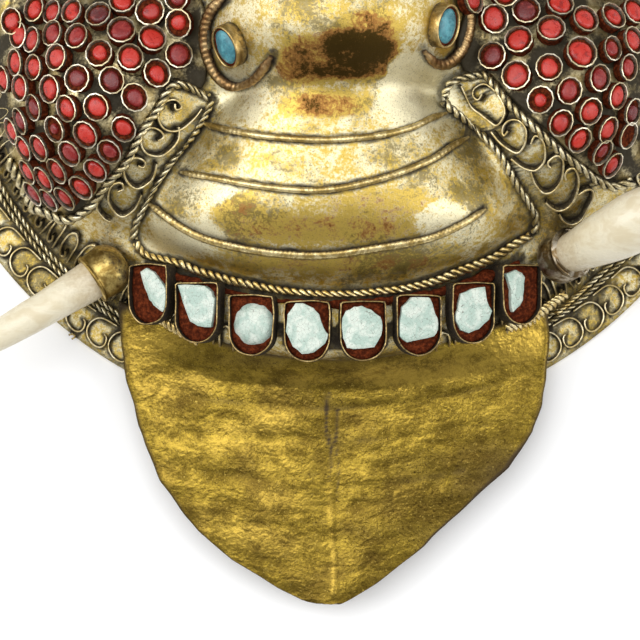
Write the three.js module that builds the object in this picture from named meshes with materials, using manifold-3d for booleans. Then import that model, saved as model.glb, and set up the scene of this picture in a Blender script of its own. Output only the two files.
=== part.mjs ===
// A wrathful dance mask of gilt and silvered copper, lying face up on its round rim.
// +X points to the right of someone who looks at the face, +Y to its forehead, +Z out of it.
// The origin lies on the surface that the rim rests on, under the middle of the whole mask.
import * as THREE from "three";
import { mergeVertices } from "three/addons/utils/BufferGeometryUtils.js";
import Module from "manifold-3d";

const wasm = await Module();
wasm.setup();

// Driving sizes, in millimetres
const RIM_RADIUS = 151;
const RIM_WIDTH = 17;
const SHEET = 1.5;
const SEAT_GAP = 0.3;

const CORAL_CUP_RADIUS = 4.6;
const CORAL_CUP_HEIGHT = 4;
const CORAL_PITCH = 9.8;
const CORAL_BACKING = 1.5;
const CORAL_MARGIN = 1.6;

const ROPE_RADIUS = 1.6;
const RIM_ROPE_RADIUS = 2;
const RIM_ROPE_MARGIN = 1.6;
const RIB_RADIUS = 1.2;

const TOOTH_COUNT = 8;
const TOOTH_GAP = 1.6;
const TOOTH_CUP_LENGTH = 22;
const TOOTH_CUP_HEIGHT = 6;
const TOOTH_CUP_WALL = 0.8;
const TOOTH_CUP_FLOOR = 1;
const TOOTH_MARGIN = 1.3;
const TOOTH_PROUD = 1.6;
const TOOTH_TO_LIP = 2.4;

const TUSK_TIP_RADIUS = 1.4;
const TUSK_CLEARANCE = 1;
const SOCKET_WALL = 1.2;
const SOCKET_FLARE = 0.6;

const TONGUE_SHEET = 1.2;
const TONGUE_HALF_WIDTH = 76;
const TONGUE_LENGTH = 107;
const TONGUE_CREASE = 1.2;

const NOSTRIL_STONE_LENGTH = 13;
const NOSTRIL_STONE_WIDTH = 10;
const STONE_BEZEL_WALL = 1;
const STONE_BEZEL_HEIGHT = 4.6;
const STONE_CLEARANCE = 0.3;
const STONE_CROWN = 1.6;
const NOSTRIL_HOOK_RADIUS = 1.7;

const EYE_RADIUS = 16;
const EYE_CROWN = 8;
const PUPIL_RADIUS = 6.5;
const PUPIL_HEIGHT = 1.6;
const THIRD_EYE_LENGTH = 22;
const THIRD_EYE_WIDTH = 13;

// The face's form, in shares of the rim's radius. Each boss is a dome: middle, half sizes, foot and rise.
const SKIRT = { rise: 0.14, run: 0.13 };
const VAULT = { x: 0, y: 0, a: 0.8, b: 0.82, foot: 0.02, rise: 0.28, power: 2 };
const CHEEK = { x: 0.5, y: -0.25, a: 0.33, b: 0.38, foot: 0.03, rise: 0.28, power: 2 };
const NOSE = { x: 0, y: -0.05, a: 0.3, b: 0.24, foot: 0.29, rise: 0.24, power: 2 };
const LID = { x: 0.3, y: 0.28, a: 0.2, b: 0.17, foot: 0.2, rise: 0.17, power: 2 };
const MUZZLE = { foot: 0.22, rise: 0.2, power: 2.6, crown: -0.42, top: -0.28, topRun: 0.3 };
const MUZZLE_SIDE = { corner: -0.62, halfWidth: 0.466, power: 1.6, least: 0.06 };
const MOUTH = { a: 0.55, foot: 0.06, rise: 0.18, depth: 0.19, drop: 6, fall: 2 };
const LIP = { middle: -0.692, lift: 0.119, corner: 0.464, power: 2.2 };
const BROW = { inner: 0.09, outer: 0.58, root: 0.42, arch: 0.12, width: 0.07, rise: 0.06 };
const BROW_ENDS = { before: 0.15, inner: 0.25, after: 0.1, outer: 0.35 };
const BRIDGE = { from: 0.12, to: 0.42, width: 0.09, rise: 0.09, fade: 0.1 };
const BLEND = 0.035;
const RIM_FILLET = 0.05;

// Colours and finishes
const finish = (color, roughness, metalness) =>
  new THREE.MeshStandardMaterial({ color, roughness, metalness });
const GILT = finish(0xc9a550, 0.38, 1);
const SILVERED = finish(0x9a9078, 0.42, 1);
const BRASS = finish(0x9c7a2e, 0.45, 1);
const CORAL = finish(0xc8302a, 0.45, 0);
const BONE = finish(0xe8dcc0, 0.5, 0);
const PALE_STONE = finish(0xd5e4df, 0.35, 0);
const TURQUOISE = finish(0x4fb0b8, 0.35, 0);
const JET = finish(0x15120f, 0.25, 0);

// Plain mathematics
const clamp = (t) => Math.min(1, Math.max(0, t));
const ease = (t) => clamp(t) ** 2 * (3 - 2 * clamp(t));
const mix = (a, b, t) => a + (b - a) * t;
const blendMax = (a, b, blend) => (a + b + Math.hypot(a - b, blend)) / 2;
const bell = (t) => Math.exp(-t * t);

// A dome's height: 1 in its middle and 0 at s = 1, past which it falls on in a straight line.
const dome = (s, power) => (s < 1 ? 1 - s ** power : power * (1 - s));

const bossHeight = (boss, x, y) =>
  boss.foot + boss.rise * dome(Math.hypot((x - boss.x) / boss.a, (y - boss.y) / boss.b), boss.power);

// The muzzle widens from the nose down to the corners of the mouth, and ends at the lip.
const muzzleHalfWidth = (y) =>
  MUZZLE_SIDE.halfWidth - Math.max(0, y - MUZZLE_SIDE.corner) ** MUZZLE_SIDE.power;
const lipLine = (x) => LIP.middle + LIP.lift * (Math.abs(x) / LIP.corner) ** LIP.power;

function muzzleHeight(x, y) {
  const across = Math.abs(x) / Math.max(MUZZLE_SIDE.least, muzzleHalfWidth(y));
  const down = Math.max(0, (MUZZLE.crown - y) / (MUZZLE.crown - lipLine(x)));
  const up = Math.max(0, (y - MUZZLE.top) / MUZZLE.topRun);
  const s = Math.cbrt(across ** 3 + down ** 3 + up ** 3);
  return MUZZLE.foot + MUZZLE.rise * dome(s, MUZZLE.power);
}

// The band that carries the teeth curves back to the corners of the mouth, and drops off below them.
function mouthHeight(x, y) {
  const across = Math.abs(x) / MOUTH.a;
  const down = Math.max(0, (lipLine(x) - y) / MOUTH.depth);
  const up = Math.max(0, (y - lipLine(x)) / MOUTH.depth - 1);
  const below = Math.min(down ** MOUTH.drop, MOUTH.drop * down);
  return MOUTH.foot + MOUTH.rise * (1 - across ** 2 - below - MOUTH.fall * up);
}

function browRise(x, y) {
  const along = (Math.abs(x) - BROW.inner) / (BROW.outer - BROW.inner);
  const line = BROW.root + BROW.arch * Math.sin(Math.PI * clamp(along));
  const start = ease((along + BROW_ENDS.before) / BROW_ENDS.inner);
  const ends = start * ease((1 + BROW_ENDS.after - along) / BROW_ENDS.outer);
  return BROW.rise * bell((y - line) / BROW.width) * ends;
}

function bridgeRise(x, y) {
  const start = ease((y - BRIDGE.from + BRIDGE.fade) / (2 * BRIDGE.fade));
  const ends = start * ease((BRIDGE.to + BRIDGE.fade - y) / (2 * BRIDGE.fade));
  return BRIDGE.rise * bell(x / BRIDGE.width) * ends;
}

// Height of the face's outer side over the floor, in shares of the rim's radius.
const BORDER = 1 - RIM_WIDTH / RIM_RADIUS;
const FLAT = SHEET / RIM_RADIUS;
function faceShare(x, y) {
  const r = Math.hypot(x, y);
  if (r >= BORDER) return FLAT;
  const side = Math.abs(x);
  let z = SKIRT.rise * ease((BORDER - r) / SKIRT.run);
  for (const boss of [VAULT, CHEEK, LID]) z = blendMax(z, bossHeight(boss, side, y), BLEND);
  z = blendMax(z, mouthHeight(x, y), BLEND);
  z = blendMax(z, muzzleHeight(x, y), BLEND);
  z = blendMax(z, bossHeight(NOSE, x, y), BLEND);
  z += browRise(x, y) + bridgeRise(x, y);
  return FLAT + z * ease((BORDER - r) / RIM_FILLET);
}

const faceHeight = (x, y) => RIM_RADIUS * faceShare(x / RIM_RADIUS, y / RIM_RADIUS);

const SLOPE_STEP = 0.6;
function faceNormal(x, y) {
  const dx = (faceHeight(x + SLOPE_STEP, y) - faceHeight(x - SLOPE_STEP, y)) / (2 * SLOPE_STEP);
  const dy = (faceHeight(x, y + SLOPE_STEP) - faceHeight(x, y - SLOPE_STEP)) / (2 * SLOPE_STEP);
  return new THREE.Vector3(-dx, -dy, 1).normalize();
}

const onFace = (x, y, lift = 0) =>
  new THREE.Vector3(x, y, faceHeight(x, y)).addScaledVector(faceNormal(x, y), lift);

// Solids
function solidOf(geometry) {
  const bare = geometry.index ? geometry.toNonIndexed() : geometry;
  const positions = new THREE.BufferGeometry().setAttribute("position", bare.getAttribute("position"));
  const merged = mergeVertices(positions, 1e-4);
  return new wasm.Manifold(
    new wasm.Mesh({
      numProp: 3,
      vertProperties: merged.attributes.position.array,
      triVerts: new Uint32Array(merged.index.array),
    }),
  );
}

function indexed(points, triangles) {
  const geometry = new THREE.BufferGeometry().setFromPoints(points);
  geometry.setIndex(triangles);
  return geometry;
}

function geometryOf(solid) {
  const mesh = solid.getMesh();
  const geometry = new THREE.BufferGeometry();
  geometry.setAttribute("position", new THREE.BufferAttribute(new Float32Array(mesh.vertProperties), 3));
  geometry.setIndex(new THREE.BufferAttribute(new Uint32Array(mesh.triVerts), 1));
  geometry.computeVertexNormals();
  return geometry;
}

function named(name, solid, material) {
  const mesh = new THREE.Mesh(geometryOf(solid), material);
  mesh.name = name;
  return mesh;
}

// The face's grid: right-angled triangles over the rim's disc, halved wherever the face curves.
const GRID = 64;
const BORDER_RING = 0.75;
const GRID_TOLERANCE = 2.6;
const ON_RIM = 1;

const ringOf = ([i, j]) => Math.max(Math.abs((2 * i) / GRID - 1), Math.abs((2 * j) / GRID - 1));

function discPoint(i, j) {
  const a = (2 * i) / GRID - 1;
  const b = (2 * j) / GRID - 1;
  const ring = ringOf([i, j]);
  if (ring === 0) return [0, 0];
  const flank = Math.abs(a) >= Math.abs(b);
  const turn = flank ? (b / a) * (Math.PI / 4) : Math.PI / 2 - (a / b) * (Math.PI / 4);
  const inner = Math.min(1, ring / BORDER_RING) * (RIM_RADIUS - RIM_WIDTH);
  const radius = inner + Math.max(0, (ring - BORDER_RING) / (1 - BORDER_RING)) * RIM_WIDTH;
  const side = flank ? Math.sign(a) : Math.sign(b);
  return [radius * side * Math.cos(turn), radius * side * Math.sin(turn)];
}

// How far the face lies from the straight line between two grid points, at their middle.
function sag([ai, aj], [bi, bj]) {
  const [ax, ay] = discPoint(ai, aj);
  const [bx, by] = discPoint(bi, bj);
  const [mx, my] = discPoint((ai + bi) / 2, (aj + bj) / 2);
  const rise = faceHeight(mx, my) - (faceHeight(ax, ay) + faceHeight(bx, by)) / 2;
  const onRim = Math.min(Math.hypot(ax, ay), Math.hypot(bx, by)) > RIM_RADIUS - RIM_WIDTH - ON_RIM;
  const sideways = onRim ? Math.hypot(mx - (ax + bx) / 2, my - (ay + by) / 2) : 0;
  return Math.abs(rise) * faceNormal(mx, my).z + sideways;
}

const crossesBorder = (triangle) => {
  const rings = triangle.map(ringOf);
  return Math.min(...rings) < BORDER_RING && Math.max(...rings) > BORDER_RING;
};

const middleOf = ([ai, aj], [bi, bj]) => [(ai + bi) / 2, (aj + bj) / 2];
const halvesOf = ([a, b, c]) => [
  [c, a, middleOf(a, b)],
  [b, c, middleOf(a, b)],
];
const keyOf = ([i, j]) => i * (GRID + 1) + j;

function faceTriangles() {
  const [low, mid, high] = [0, GRID / 2, GRID];
  const quarters = [
    [[low, low], [mid, mid], [mid, low]],
    [[mid, mid], [low, low], [low, mid]],
    [[mid, mid], [high, low], [mid, low]],
    [[high, low], [mid, mid], [high, mid]],
    [[mid, mid], [high, high], [high, mid]],
    [[high, high], [mid, mid], [mid, high]],
    [[low, high], [mid, mid], [low, mid]],
    [[mid, mid], [low, high], [mid, high]],
  ];
  const facingUp = ([a, b, c]) => (b[0] - a[0]) * (c[1] - a[1]) - (b[1] - a[1]) * (c[0] - a[0]) > 0;
  const roots = quarters.map(([a, b, c]) => (facingUp([a, b, c]) ? [a, b, c] : [b, a, c]));
  const levels = [roots];
  const halvable = ([a, b]) => (a[0] + b[0]) % 2 === 0 && (a[1] + b[1]) % 2 === 0;
  while (halvable(levels.at(-1)[0])) levels.push(levels.at(-1).flatMap(halvesOf));
  const need = new Map();
  for (const level of levels.toReversed()) {
    for (const triangle of level) {
      if (!halvable(triangle)) continue;
      const key = keyOf(middleOf(triangle[0], triangle[1]));
      const halves = halvesOf(triangle).filter(halvable);
      const within = halves.map(([a, b]) => need.get(keyOf(middleOf(a, b))));
      const own = crossesBorder(triangle) ? Infinity : sag(triangle[0], triangle[1]);
      need.set(key, Math.max(need.get(key) ?? 0, own, ...within));
    }
  }
  const split = (triangle) => {
    const halve = halvable(triangle) && need.get(keyOf(middleOf(triangle[0], triangle[1]))) > GRID_TOLERANCE;
    return halve ? halvesOf(triangle).flatMap(split) : [triangle];
  };
  return roots.flatMap(split);
}

const grid = faceTriangles();

// A solid between two surfaces over the whole disc: top and underside are given for each place in the plan.
function discSolid(topAt, undersideAt) {
  const seen = new Map();
  const points = [];
  const index = (corner) => {
    const key = keyOf(corner);
    if (!seen.has(key)) {
      seen.set(key, points.length);
      points.push(topAt(...discPoint(...corner)), undersideAt(...discPoint(...corner)));
    }
    return seen.get(key);
  };
  const tops = grid.map((triangle) => triangle.map(index));
  const faces = tops.flatMap(([a, b, c]) => [a, b, c, a + 1, c + 1, b + 1]);
  const sides = new Set(tops.flatMap(([a, b, c]) => [`${a} ${b}`, `${b} ${c}`, `${c} ${a}`]));
  for (const side of sides) {
    const [a, b] = side.split(" ").map(Number);
    if (!sides.has(`${b} ${a}`)) faces.push(a, a + 1, b, b, a + 1, b + 1);
  }
  return solidOf(indexed(points, faces));
}

const sheetOverFace = (low, high) =>
  discSolid(
    (x, y) => onFace(x, y, high),
    (x, y) => onFace(x, y, low),
  );

// Everything up to the seat of the pieces that stand on the face
const BELOW_FLOOR = -10;
const belowSeat = discSolid(
  (x, y) => onFace(x, y, SEAT_GAP),
  (x, y) => onFace(x, y, SEAT_GAP).setZ(BELOW_FLOOR),
);
const seated = (solid) => solid.subtract(belowSeat);

// Where the seat's facets lie, straight below or above a place in the plan, with the facet's normal
const seatFacets = new THREE.Mesh(geometryOf(belowSeat));
function facetAt(surface, x, y) {
  const down = new THREE.Raycaster(new THREE.Vector3(x, y, RIM_RADIUS), new THREE.Vector3(0, 0, -1));
  const [hit] = down.intersectObject(surface);
  return { point: hit.point, normal: hit.face.normal };
}

// Places on the face: z along the normal, y towards the forehead, turned about z by spin.
function placeOnFace(x, y, lift = 0, spin = 0) {
  const up = faceNormal(x, y);
  const right = new THREE.Vector3(0, 1, 0).cross(up).normalize();
  const forward = up.clone().cross(right);
  const place = new THREE.Matrix4().makeBasis(right, forward, up);
  return place.multiply(new THREE.Matrix4().makeRotationZ(spin)).setPosition(onFace(x, y, lift));
}

const placed = (geometry, place) => solidOf(geometry.clone().applyMatrix4(place));

function extruded(shape, from, to, curveSegments = 4) {
  const options = { depth: to - from, bevelEnabled: false, curveSegments };
  return new THREE.ExtrudeGeometry(shape, options).translate(0, 0, from);
}

function polygon(radius, sides) {
  const shape = new THREE.Shape();
  for (let k = 0; k < sides; k++) {
    const turn = (2 * Math.PI * k) / sides;
    const point = [radius * Math.cos(turn), radius * Math.sin(turn)];
    k === 0 ? shape.moveTo(...point) : shape.lineTo(...point);
  }
  return shape;
}

// A place moved out along its own z until a flat base of the given size clears the seat
const BASE_SAMPLES = [-0.5, -0.25, 0, 0.25, 0.5];
function raised(place, width, length) {
  const local = place.clone().invert();
  let highest = -Infinity;
  for (const across of BASE_SAMPLES) {
    for (const along of BASE_SAMPLES) {
      const corner = new THREE.Vector3(across * width, along * length, 0).applyMatrix4(place);
      highest = Math.max(highest, facetAt(seatFacets, corner.x, corner.y).point.applyMatrix4(local).z);
    }
  }
  return place.clone().multiply(new THREE.Matrix4().makeTranslation(0, 0, highest));
}

// Rings of points, each joined to the next, with both ends closed.
function lofted(rings) {
  const count = rings[0].length;
  const points = rings.flat();
  const faces = [];
  for (let ring = 0; ring + 1 < rings.length; ring++) {
    for (let k = 0; k < count; k++) {
      const [a, b] = [ring * count + k, ring * count + ((k + 1) % count)];
      faces.push(a, b, a + count, b, b + count, a + count);
    }
  }
  const last = points.length - count;
  for (let k = 1; k + 1 < count; k++) faces.push(0, k + 1, k, last, last + k, last + k + 1);
  return indexed(points, faces);
}

// A cut stone: an outline with upright sides and a crown that draws in towards the top
const CROWN_SHARE = 0.72;
function cutStone(outline, foot, girdle, top) {
  const ring = (share, z) => outline.map((p) => new THREE.Vector3(p.x * share, p.y * share, z));
  return lofted([ring(1, foot), ring(1, girdle), ring(CROWN_SHARE, top)]);
}

const ellipse = (halfWidth, halfLength) =>
  new THREE.Shape().absellipse(0, 0, halfWidth, halfLength, 0, 2 * Math.PI, false, 0);

function outlineOf(shape, curveSegments = 4) {
  const points = shape.extractPoints(curveSegments).shape;
  return points.filter((p, k) => k === 0 || p.distanceTo(points[0]) > STONE_CLEARANCE);
}

// Wires: round sections with few sides, along lines given in shares of the rim's radius.
const WIRE_SIDES = 4;
const WIRE_LIFT = 0.7;
function wireOnFace(line, radius, steps) {
  const scaled = line.map(([x, y]) => new THREE.Vector2(x * RIM_RADIUS, y * RIM_RADIUS));
  const plan = new THREE.SplineCurve(scaled);
  const points = plan.getSpacedPoints(steps).map((p) => {
    const { point } = facetAt(seatFacets, p.x, p.y);
    return point.addScaledVector(faceNormal(p.x, p.y), radius + WIRE_LIFT);
  });
  const options = { steps, extrudePath: new THREE.CatmullRomCurve3(points), bevelEnabled: false };
  return seated(solidOf(new THREE.ExtrudeGeometry(polygon(radius, WIRE_SIDES), options)));
}

const mirrored = (line) => line.map(([x, y]) => [-x, y]);

// The shell: one sheet of beaten copper, the face and its flat rim
function maskShell() {
  return [named("mask_shell", sheetOverFace(-SHEET, 0), GILT)];
}

// The coral fields: a silvered backing on each cheek with rings of round cups, each holding a coral
// Each field's edge in shares of the rim's radius, outwards from the mask's middle, from the nose round
const CORAL_OUTER_EDGE = [
  [0.781, -0.185],
  [0.748, -0.026],
  [0.669, 0.106],
  [0.53, 0.159],
  [0.377, 0.106],
];
const CORAL_OUTLINES = {
  left: [
    [0.301, -0.079],
    [0.3, -0.15],
    [0.322, -0.2],
    [0.372, -0.2],
    [0.405, -0.235],
    [0.452, -0.306],
    [0.498, -0.387],
    [0.55, -0.465],
    [0.606, -0.5],
    [0.66, -0.49],
    [0.709, -0.45],
    [0.765, -0.331],
    ...CORAL_OUTER_EDGE,
  ],
  right: [
    [0.301, -0.079],
    [0.297, -0.15],
    [0.335, -0.175],
    [0.383, -0.202],
    [0.438, -0.262],
    [0.508, -0.325],
    [0.58, -0.392],
    [0.642, -0.425],
    [0.7, -0.415],
    [0.745, -0.355],
    [0.775, -0.27],
    ...CORAL_OUTER_EDGE,
  ],
};
const CORAL_MIDDLE = [0.548 * RIM_RADIUS, -0.17 * RIM_RADIUS];
const CUP_SIDES = 5;
const CUP_ROOT = 0.4;
const RING_SAMPLES = 144;
const EDGE_STEP = 6;
const INSET_STEP = 1;
const DEEPEST_INSET = 80;
const WALK_STEP = 0.02;

const inMillimetres = (line) => line.map(([x, y]) => new THREE.Vector3(x * RIM_RADIUS, y * RIM_RADIUS, 0));
const coralOutlines = {
  left: new THREE.CatmullRomCurve3(inMillimetres(CORAL_OUTLINES.left), true),
  right: new THREE.CatmullRomCurve3(inMillimetres(CORAL_OUTLINES.right), true),
};

// A point of a field's edge, given by its share of the way round, and moved outwards by grow
function coralEdge(name, share, grow = 0) {
  const point = coralOutlines[name].getPointAt(share);
  const tangent = coralOutlines[name].getTangentAt(share);
  return [point.x + tangent.y * grow, point.y - tangent.x * grow];
}

// The place that lies a distance in from a field's edge, walked over the face towards its middle
function inwardFrom(name, round, distance) {
  const [edgeX, edgeY] = coralEdge(name, round);
  const [middleX, middleY] = CORAL_MIDDLE;
  let here = onFace(edgeX, edgeY);
  let walked = 0;
  for (let share = WALK_STEP; share < 1; share += WALK_STEP) {
    const next = onFace(mix(edgeX, middleX, share), mix(edgeY, middleY, share));
    walked += next.distanceTo(here);
    here = next;
    if (walked >= distance) return here;
  }
  return null;
}

// From the edge inwards, each cup stands as near the edge as the cups before it allow
function coralPlaces(name) {
  const places = [];
  for (let inset = CORAL_CUP_RADIUS + CORAL_MARGIN; inset < DEEPEST_INSET; inset += INSET_STEP) {
    for (let k = 0; k < RING_SAMPLES; k++) {
      const place = inwardFrom(name, k / RING_SAMPLES, inset);
      if (place && places.every((other) => other.distanceTo(place) >= CORAL_PITCH)) places.push(place);
    }
  }
  return places;
}

// A cup's place on the backing, square to the facet that it stands on
function placeOnFacet(surface, x, y) {
  const { point, normal } = facetAt(surface, x, y);
  const right = new THREE.Vector3(0, 1, 0).cross(normal).normalize();
  const place = new THREE.Matrix4().makeBasis(right, normal.clone().cross(right), normal);
  return place.setPosition(point);
}

function coralCheek(name, side) {
  const edge = new THREE.Shape();
  for (let k = 0; k < RING_SAMPLES; k += EDGE_STEP) {
    const [x, y] = coralEdge(name, k / RING_SAMPLES);
    k === 0 ? edge.moveTo(side * x, y) : edge.lineTo(side * x, y);
  }
  const column = solidOf(extruded(edge, BELOW_FLOOR, RIM_RADIUS));
  const backing = sheetOverFace(SEAT_GAP, SEAT_GAP + CORAL_BACKING).intersect(column);
  const surface = new THREE.Mesh(geometryOf(backing));
  const cup = extruded(polygon(CORAL_CUP_RADIUS, CUP_SIDES), -CUP_ROOT, CORAL_CUP_HEIGHT);
  const cups = coralPlaces(name).map((p) => placed(cup, placeOnFacet(surface, side * p.x, p.y)));
  return cups.reduce((sum, one) => sum.add(seated(one)), backing);
}

function coralCheeks() {
  return [
    named("coral_cheek_left", coralCheek("left", -1), CORAL),
    named("coral_cheek_right", coralCheek("right", 1), CORAL),
  ];
}

// The wires: a ring inside the rim, one round each coral field, two beside the muzzle, one over the lip
const MUZZLE_LINE = [
  [0.285, -0.25],
  [0.3, -0.3],
  [0.348, -0.382],
  [0.429, -0.476],
  [0.462, -0.545],
];
const LIP_LINE_ENDS = 0.42;
const LIP_LINE_RISE = 0.018;
const RIB_LINES = [
  [
    [-0.283, -0.308],
    [-0.125, -0.33],
    [0, -0.336],
    [0.11, -0.322],
    [0.253, -0.28],
  ],
  [
    [-0.355, -0.412],
    [-0.158, -0.443],
    [0, -0.452],
    [0.16, -0.418],
    [0.288, -0.35],
  ],
  [
    [-0.4, -0.5],
    [-0.282, -0.568],
    [-0.03, -0.6],
    [0.211, -0.561],
    [0.345, -0.498],
  ],
];
const CORAL_ROPE_OUT = 0.0225;
const CORAL_ROPE_START = 0.1;
const CORAL_ROPE_LENGTH = 0.74;
const WIRE_STEPS = { cheek: 15, muzzle: 8, lip: 12, rib: 8, hook: 8, rim: 28 };
const LIP_HALF_POINTS = 4;

function coralRopeLine(name) {
  const line = [];
  for (let k = 0; k <= WIRE_STEPS.cheek; k++) {
    const round = CORAL_ROPE_START + (CORAL_ROPE_LENGTH * k) / WIRE_STEPS.cheek;
    const [x, y] = coralEdge(name, round, CORAL_ROPE_OUT * RIM_RADIUS);
    line.push([x / RIM_RADIUS, y / RIM_RADIUS]);
  }
  return line;
}

function lipRopeLine() {
  const line = [];
  for (let k = -LIP_HALF_POINTS; k <= LIP_HALF_POINTS; k++) {
    const x = (LIP_LINE_ENDS * k) / LIP_HALF_POINTS;
    line.push([x, lipLine(x) + LIP_LINE_RISE]);
  }
  return line;
}

function rimRope() {
  const radius = RIM_RADIUS - RIM_WIDTH + RIM_ROPE_RADIUS + RIM_ROPE_MARGIN;
  const ring = new THREE.TorusGeometry(radius, RIM_ROPE_RADIUS, WIRE_SIDES, WIRE_STEPS.rim);
  return solidOf(ring.translate(0, 0, SHEET + SEAT_GAP + RIM_ROPE_RADIUS));
}

function wires() {
  const leftLine = mirrored(coralRopeLine("left"));
  return [
    named("rim_rope", rimRope(), GILT),
    named("cheek_rope_left", wireOnFace(leftLine, ROPE_RADIUS, WIRE_STEPS.cheek), SILVERED),
    named("cheek_rope_right", wireOnFace(coralRopeLine("right"), ROPE_RADIUS, WIRE_STEPS.cheek), SILVERED),
    named("muzzle_rope_left", wireOnFace(mirrored(MUZZLE_LINE), ROPE_RADIUS, WIRE_STEPS.muzzle), SILVERED),
    named("muzzle_rope_right", wireOnFace(MUZZLE_LINE, ROPE_RADIUS, WIRE_STEPS.muzzle), SILVERED),
    named("lip_rope", wireOnFace(lipRopeLine(), ROPE_RADIUS, WIRE_STEPS.lip), GILT),
    ...RIB_LINES.map((line, k) => {
      const rib = wireOnFace(line, RIB_RADIUS, WIRE_STEPS.rib);
      return named(`muzzle_rib_${k + 1}`, rib, GILT);
    }),
  ];
}

// The teeth: pale stones in brass cups, in a row that bends back round the mouth. The row's length and
// the radius of its bend are shares of the rim's radius, so that the teeth fill the mouth.
const TOOTH_ROW_LENGTH = 0.9643;
const TOOTH_ROW_BEND = 0.768;
const TOOTH_CORNER = 2;
const TOOTH_SEGMENTS = 2;
const toothPitch = (TOOTH_ROW_LENGTH * RIM_RADIUS) / TOOTH_COUNT;
const toothWidth = toothPitch - TOOTH_GAP;
const toothBend = TOOTH_ROW_BEND * RIM_RADIUS;
const toothTurn = (k) => ((k - (TOOTH_COUNT - 1) / 2) * toothPitch) / toothBend;

function toothOutline(inset) {
  const half = toothWidth / 2 - inset;
  const top = TOOTH_CUP_LENGTH / 2 - inset;
  const shape = new THREE.Shape();
  shape.moveTo(half, top - TOOTH_CORNER);
  shape.lineTo(half - TOOTH_CORNER, top);
  shape.lineTo(TOOTH_CORNER - half, top);
  shape.lineTo(-half, top - TOOTH_CORNER);
  shape.absarc(0, half - top, half, Math.PI, 2 * Math.PI, false);
  return shape;
}

function toothPlace(k) {
  const turn = toothTurn(k);
  const x = toothBend * Math.sin(turn);
  const y = lipLine(x / RIM_RADIUS) * RIM_RADIUS - TOOTH_TO_LIP - TOOTH_CUP_LENGTH / 2;
  const place = new THREE.Matrix4().makeRotationY(turn).setPosition(x, y, faceHeight(x, y));
  return raised(place, toothWidth, TOOTH_CUP_LENGTH);
}

// How far the last cup of the row reaches from the mask's middle
function teethReach() {
  const turn = toothTurn(TOOTH_COUNT - 1);
  const middle = toothBend * Math.sin(turn);
  return middle + (toothWidth / 2) * Math.cos(turn) + TOOTH_CUP_HEIGHT * Math.sin(turn);
}

function teeth() {
  const pieces = [];
  const outer = extruded(toothOutline(0), 0, TOOTH_CUP_HEIGHT, TOOTH_SEGMENTS);
  const well = toothOutline(TOOTH_CUP_WALL);
  const inner = extruded(well, TOOTH_CUP_FLOOR, TOOTH_CUP_HEIGHT + 1, TOOTH_SEGMENTS);
  const outline = outlineOf(toothOutline(TOOTH_CUP_WALL + TOOTH_MARGIN), TOOTH_SEGMENTS);
  const foot = TOOTH_CUP_FLOOR + STONE_CLEARANCE;
  const stone = cutStone(outline, foot, TOOTH_CUP_HEIGHT, TOOTH_CUP_HEIGHT + TOOTH_PROUD);
  for (let k = 0; k < TOOTH_COUNT; k++) {
    const place = toothPlace(k);
    const cup = seated(placed(outer, place)).subtract(placed(inner, place));
    pieces.push(named(`tooth_cup_${k + 1}`, cup, BRASS));
    pieces.push(named(`tooth_${k + 1}`, placed(stone, place), PALE_STONE));
  }
  return pieces;
}

// The tusks: bent horns of bone, each stuck in a brass socket that stands on the corner of the mouth
// Their middle lines start a little beyond the last cup. Lines, radii and the sockets' lengths are given
// in shares of the rim's radius.
const TUSK_SIDES = 8;
const TUSK_TO_TEETH = { left: 0.047, right: 0.0492 };
const hornRoot = (side) => teethReach() / RIM_RADIUS + TUSK_TO_TEETH[side];
const LEFT_HORN = [
  [-hornRoot("left"), -0.628, 0.158],
  [-0.7152, -0.7609, 0.205],
  [-0.987, -0.897, 0.179],
];
const RIGHT_HORN = [
  [hornRoot("right"), -0.61, 0.162],
  [0.6358, -0.5656, 0.37],
  [0.987, -0.358, 0.49],
];
const hornLine = (points) =>
  new THREE.QuadraticBezierCurve3(...points.map((p) => new THREE.Vector3(...p).multiplyScalar(RIM_RADIUS)));
const TUSK_ROOTS = { left: 0.049, right: 0.0437 };
const TUSK_BELLIES = { left: 0.0404, right: 0.0702 };
const SOCKET_REACH = 0.06;
const SOCKET_BACK = 0.0265;
const hornOf = (side, points) => ({
  line: hornLine(points),
  root: TUSK_ROOTS[side] * RIM_RADIUS,
  belly: TUSK_BELLIES[side] * RIM_RADIUS,
});
const TUSKS = { left: hornOf("left", LEFT_HORN), right: hornOf("right", RIGHT_HORN) };
const TUSK_BELLY_AT = 0.42;

// Bends a piece that was turned about the Y axis so that its length follows a horn's middle line.
function bentAlong(geometry, line) {
  const length = line.getLength();
  const bent = geometry.clone();
  const position = bent.getAttribute("position");
  const up = new THREE.Vector3(0, 0, 1);
  for (let k = 0; k < position.count; k++) {
    const share = position.getY(k) / length;
    const along = line.getTangentAt(clamp(share));
    const side = new THREE.Vector3().crossVectors(up, along).normalize();
    const over = new THREE.Vector3().crossVectors(along, side);
    const point = line.getPointAt(clamp(share)).addScaledVector(along, (share - clamp(share)) * length);
    point.addScaledVector(side, position.getX(k)).addScaledVector(over, -position.getZ(k));
    position.setXYZ(k, point.x, point.y, point.z);
  }
  return solidOf(bent);
}

function tuskRadius(share, { root, belly }) {
  const swell = mix(root, belly, ease(share / TUSK_BELLY_AT));
  const taper = Math.sqrt(clamp((1 - share) / (1 - TUSK_BELLY_AT)));
  return TUSK_TIP_RADIUS + (swell - TUSK_TIP_RADIUS) * taper;
}

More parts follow.
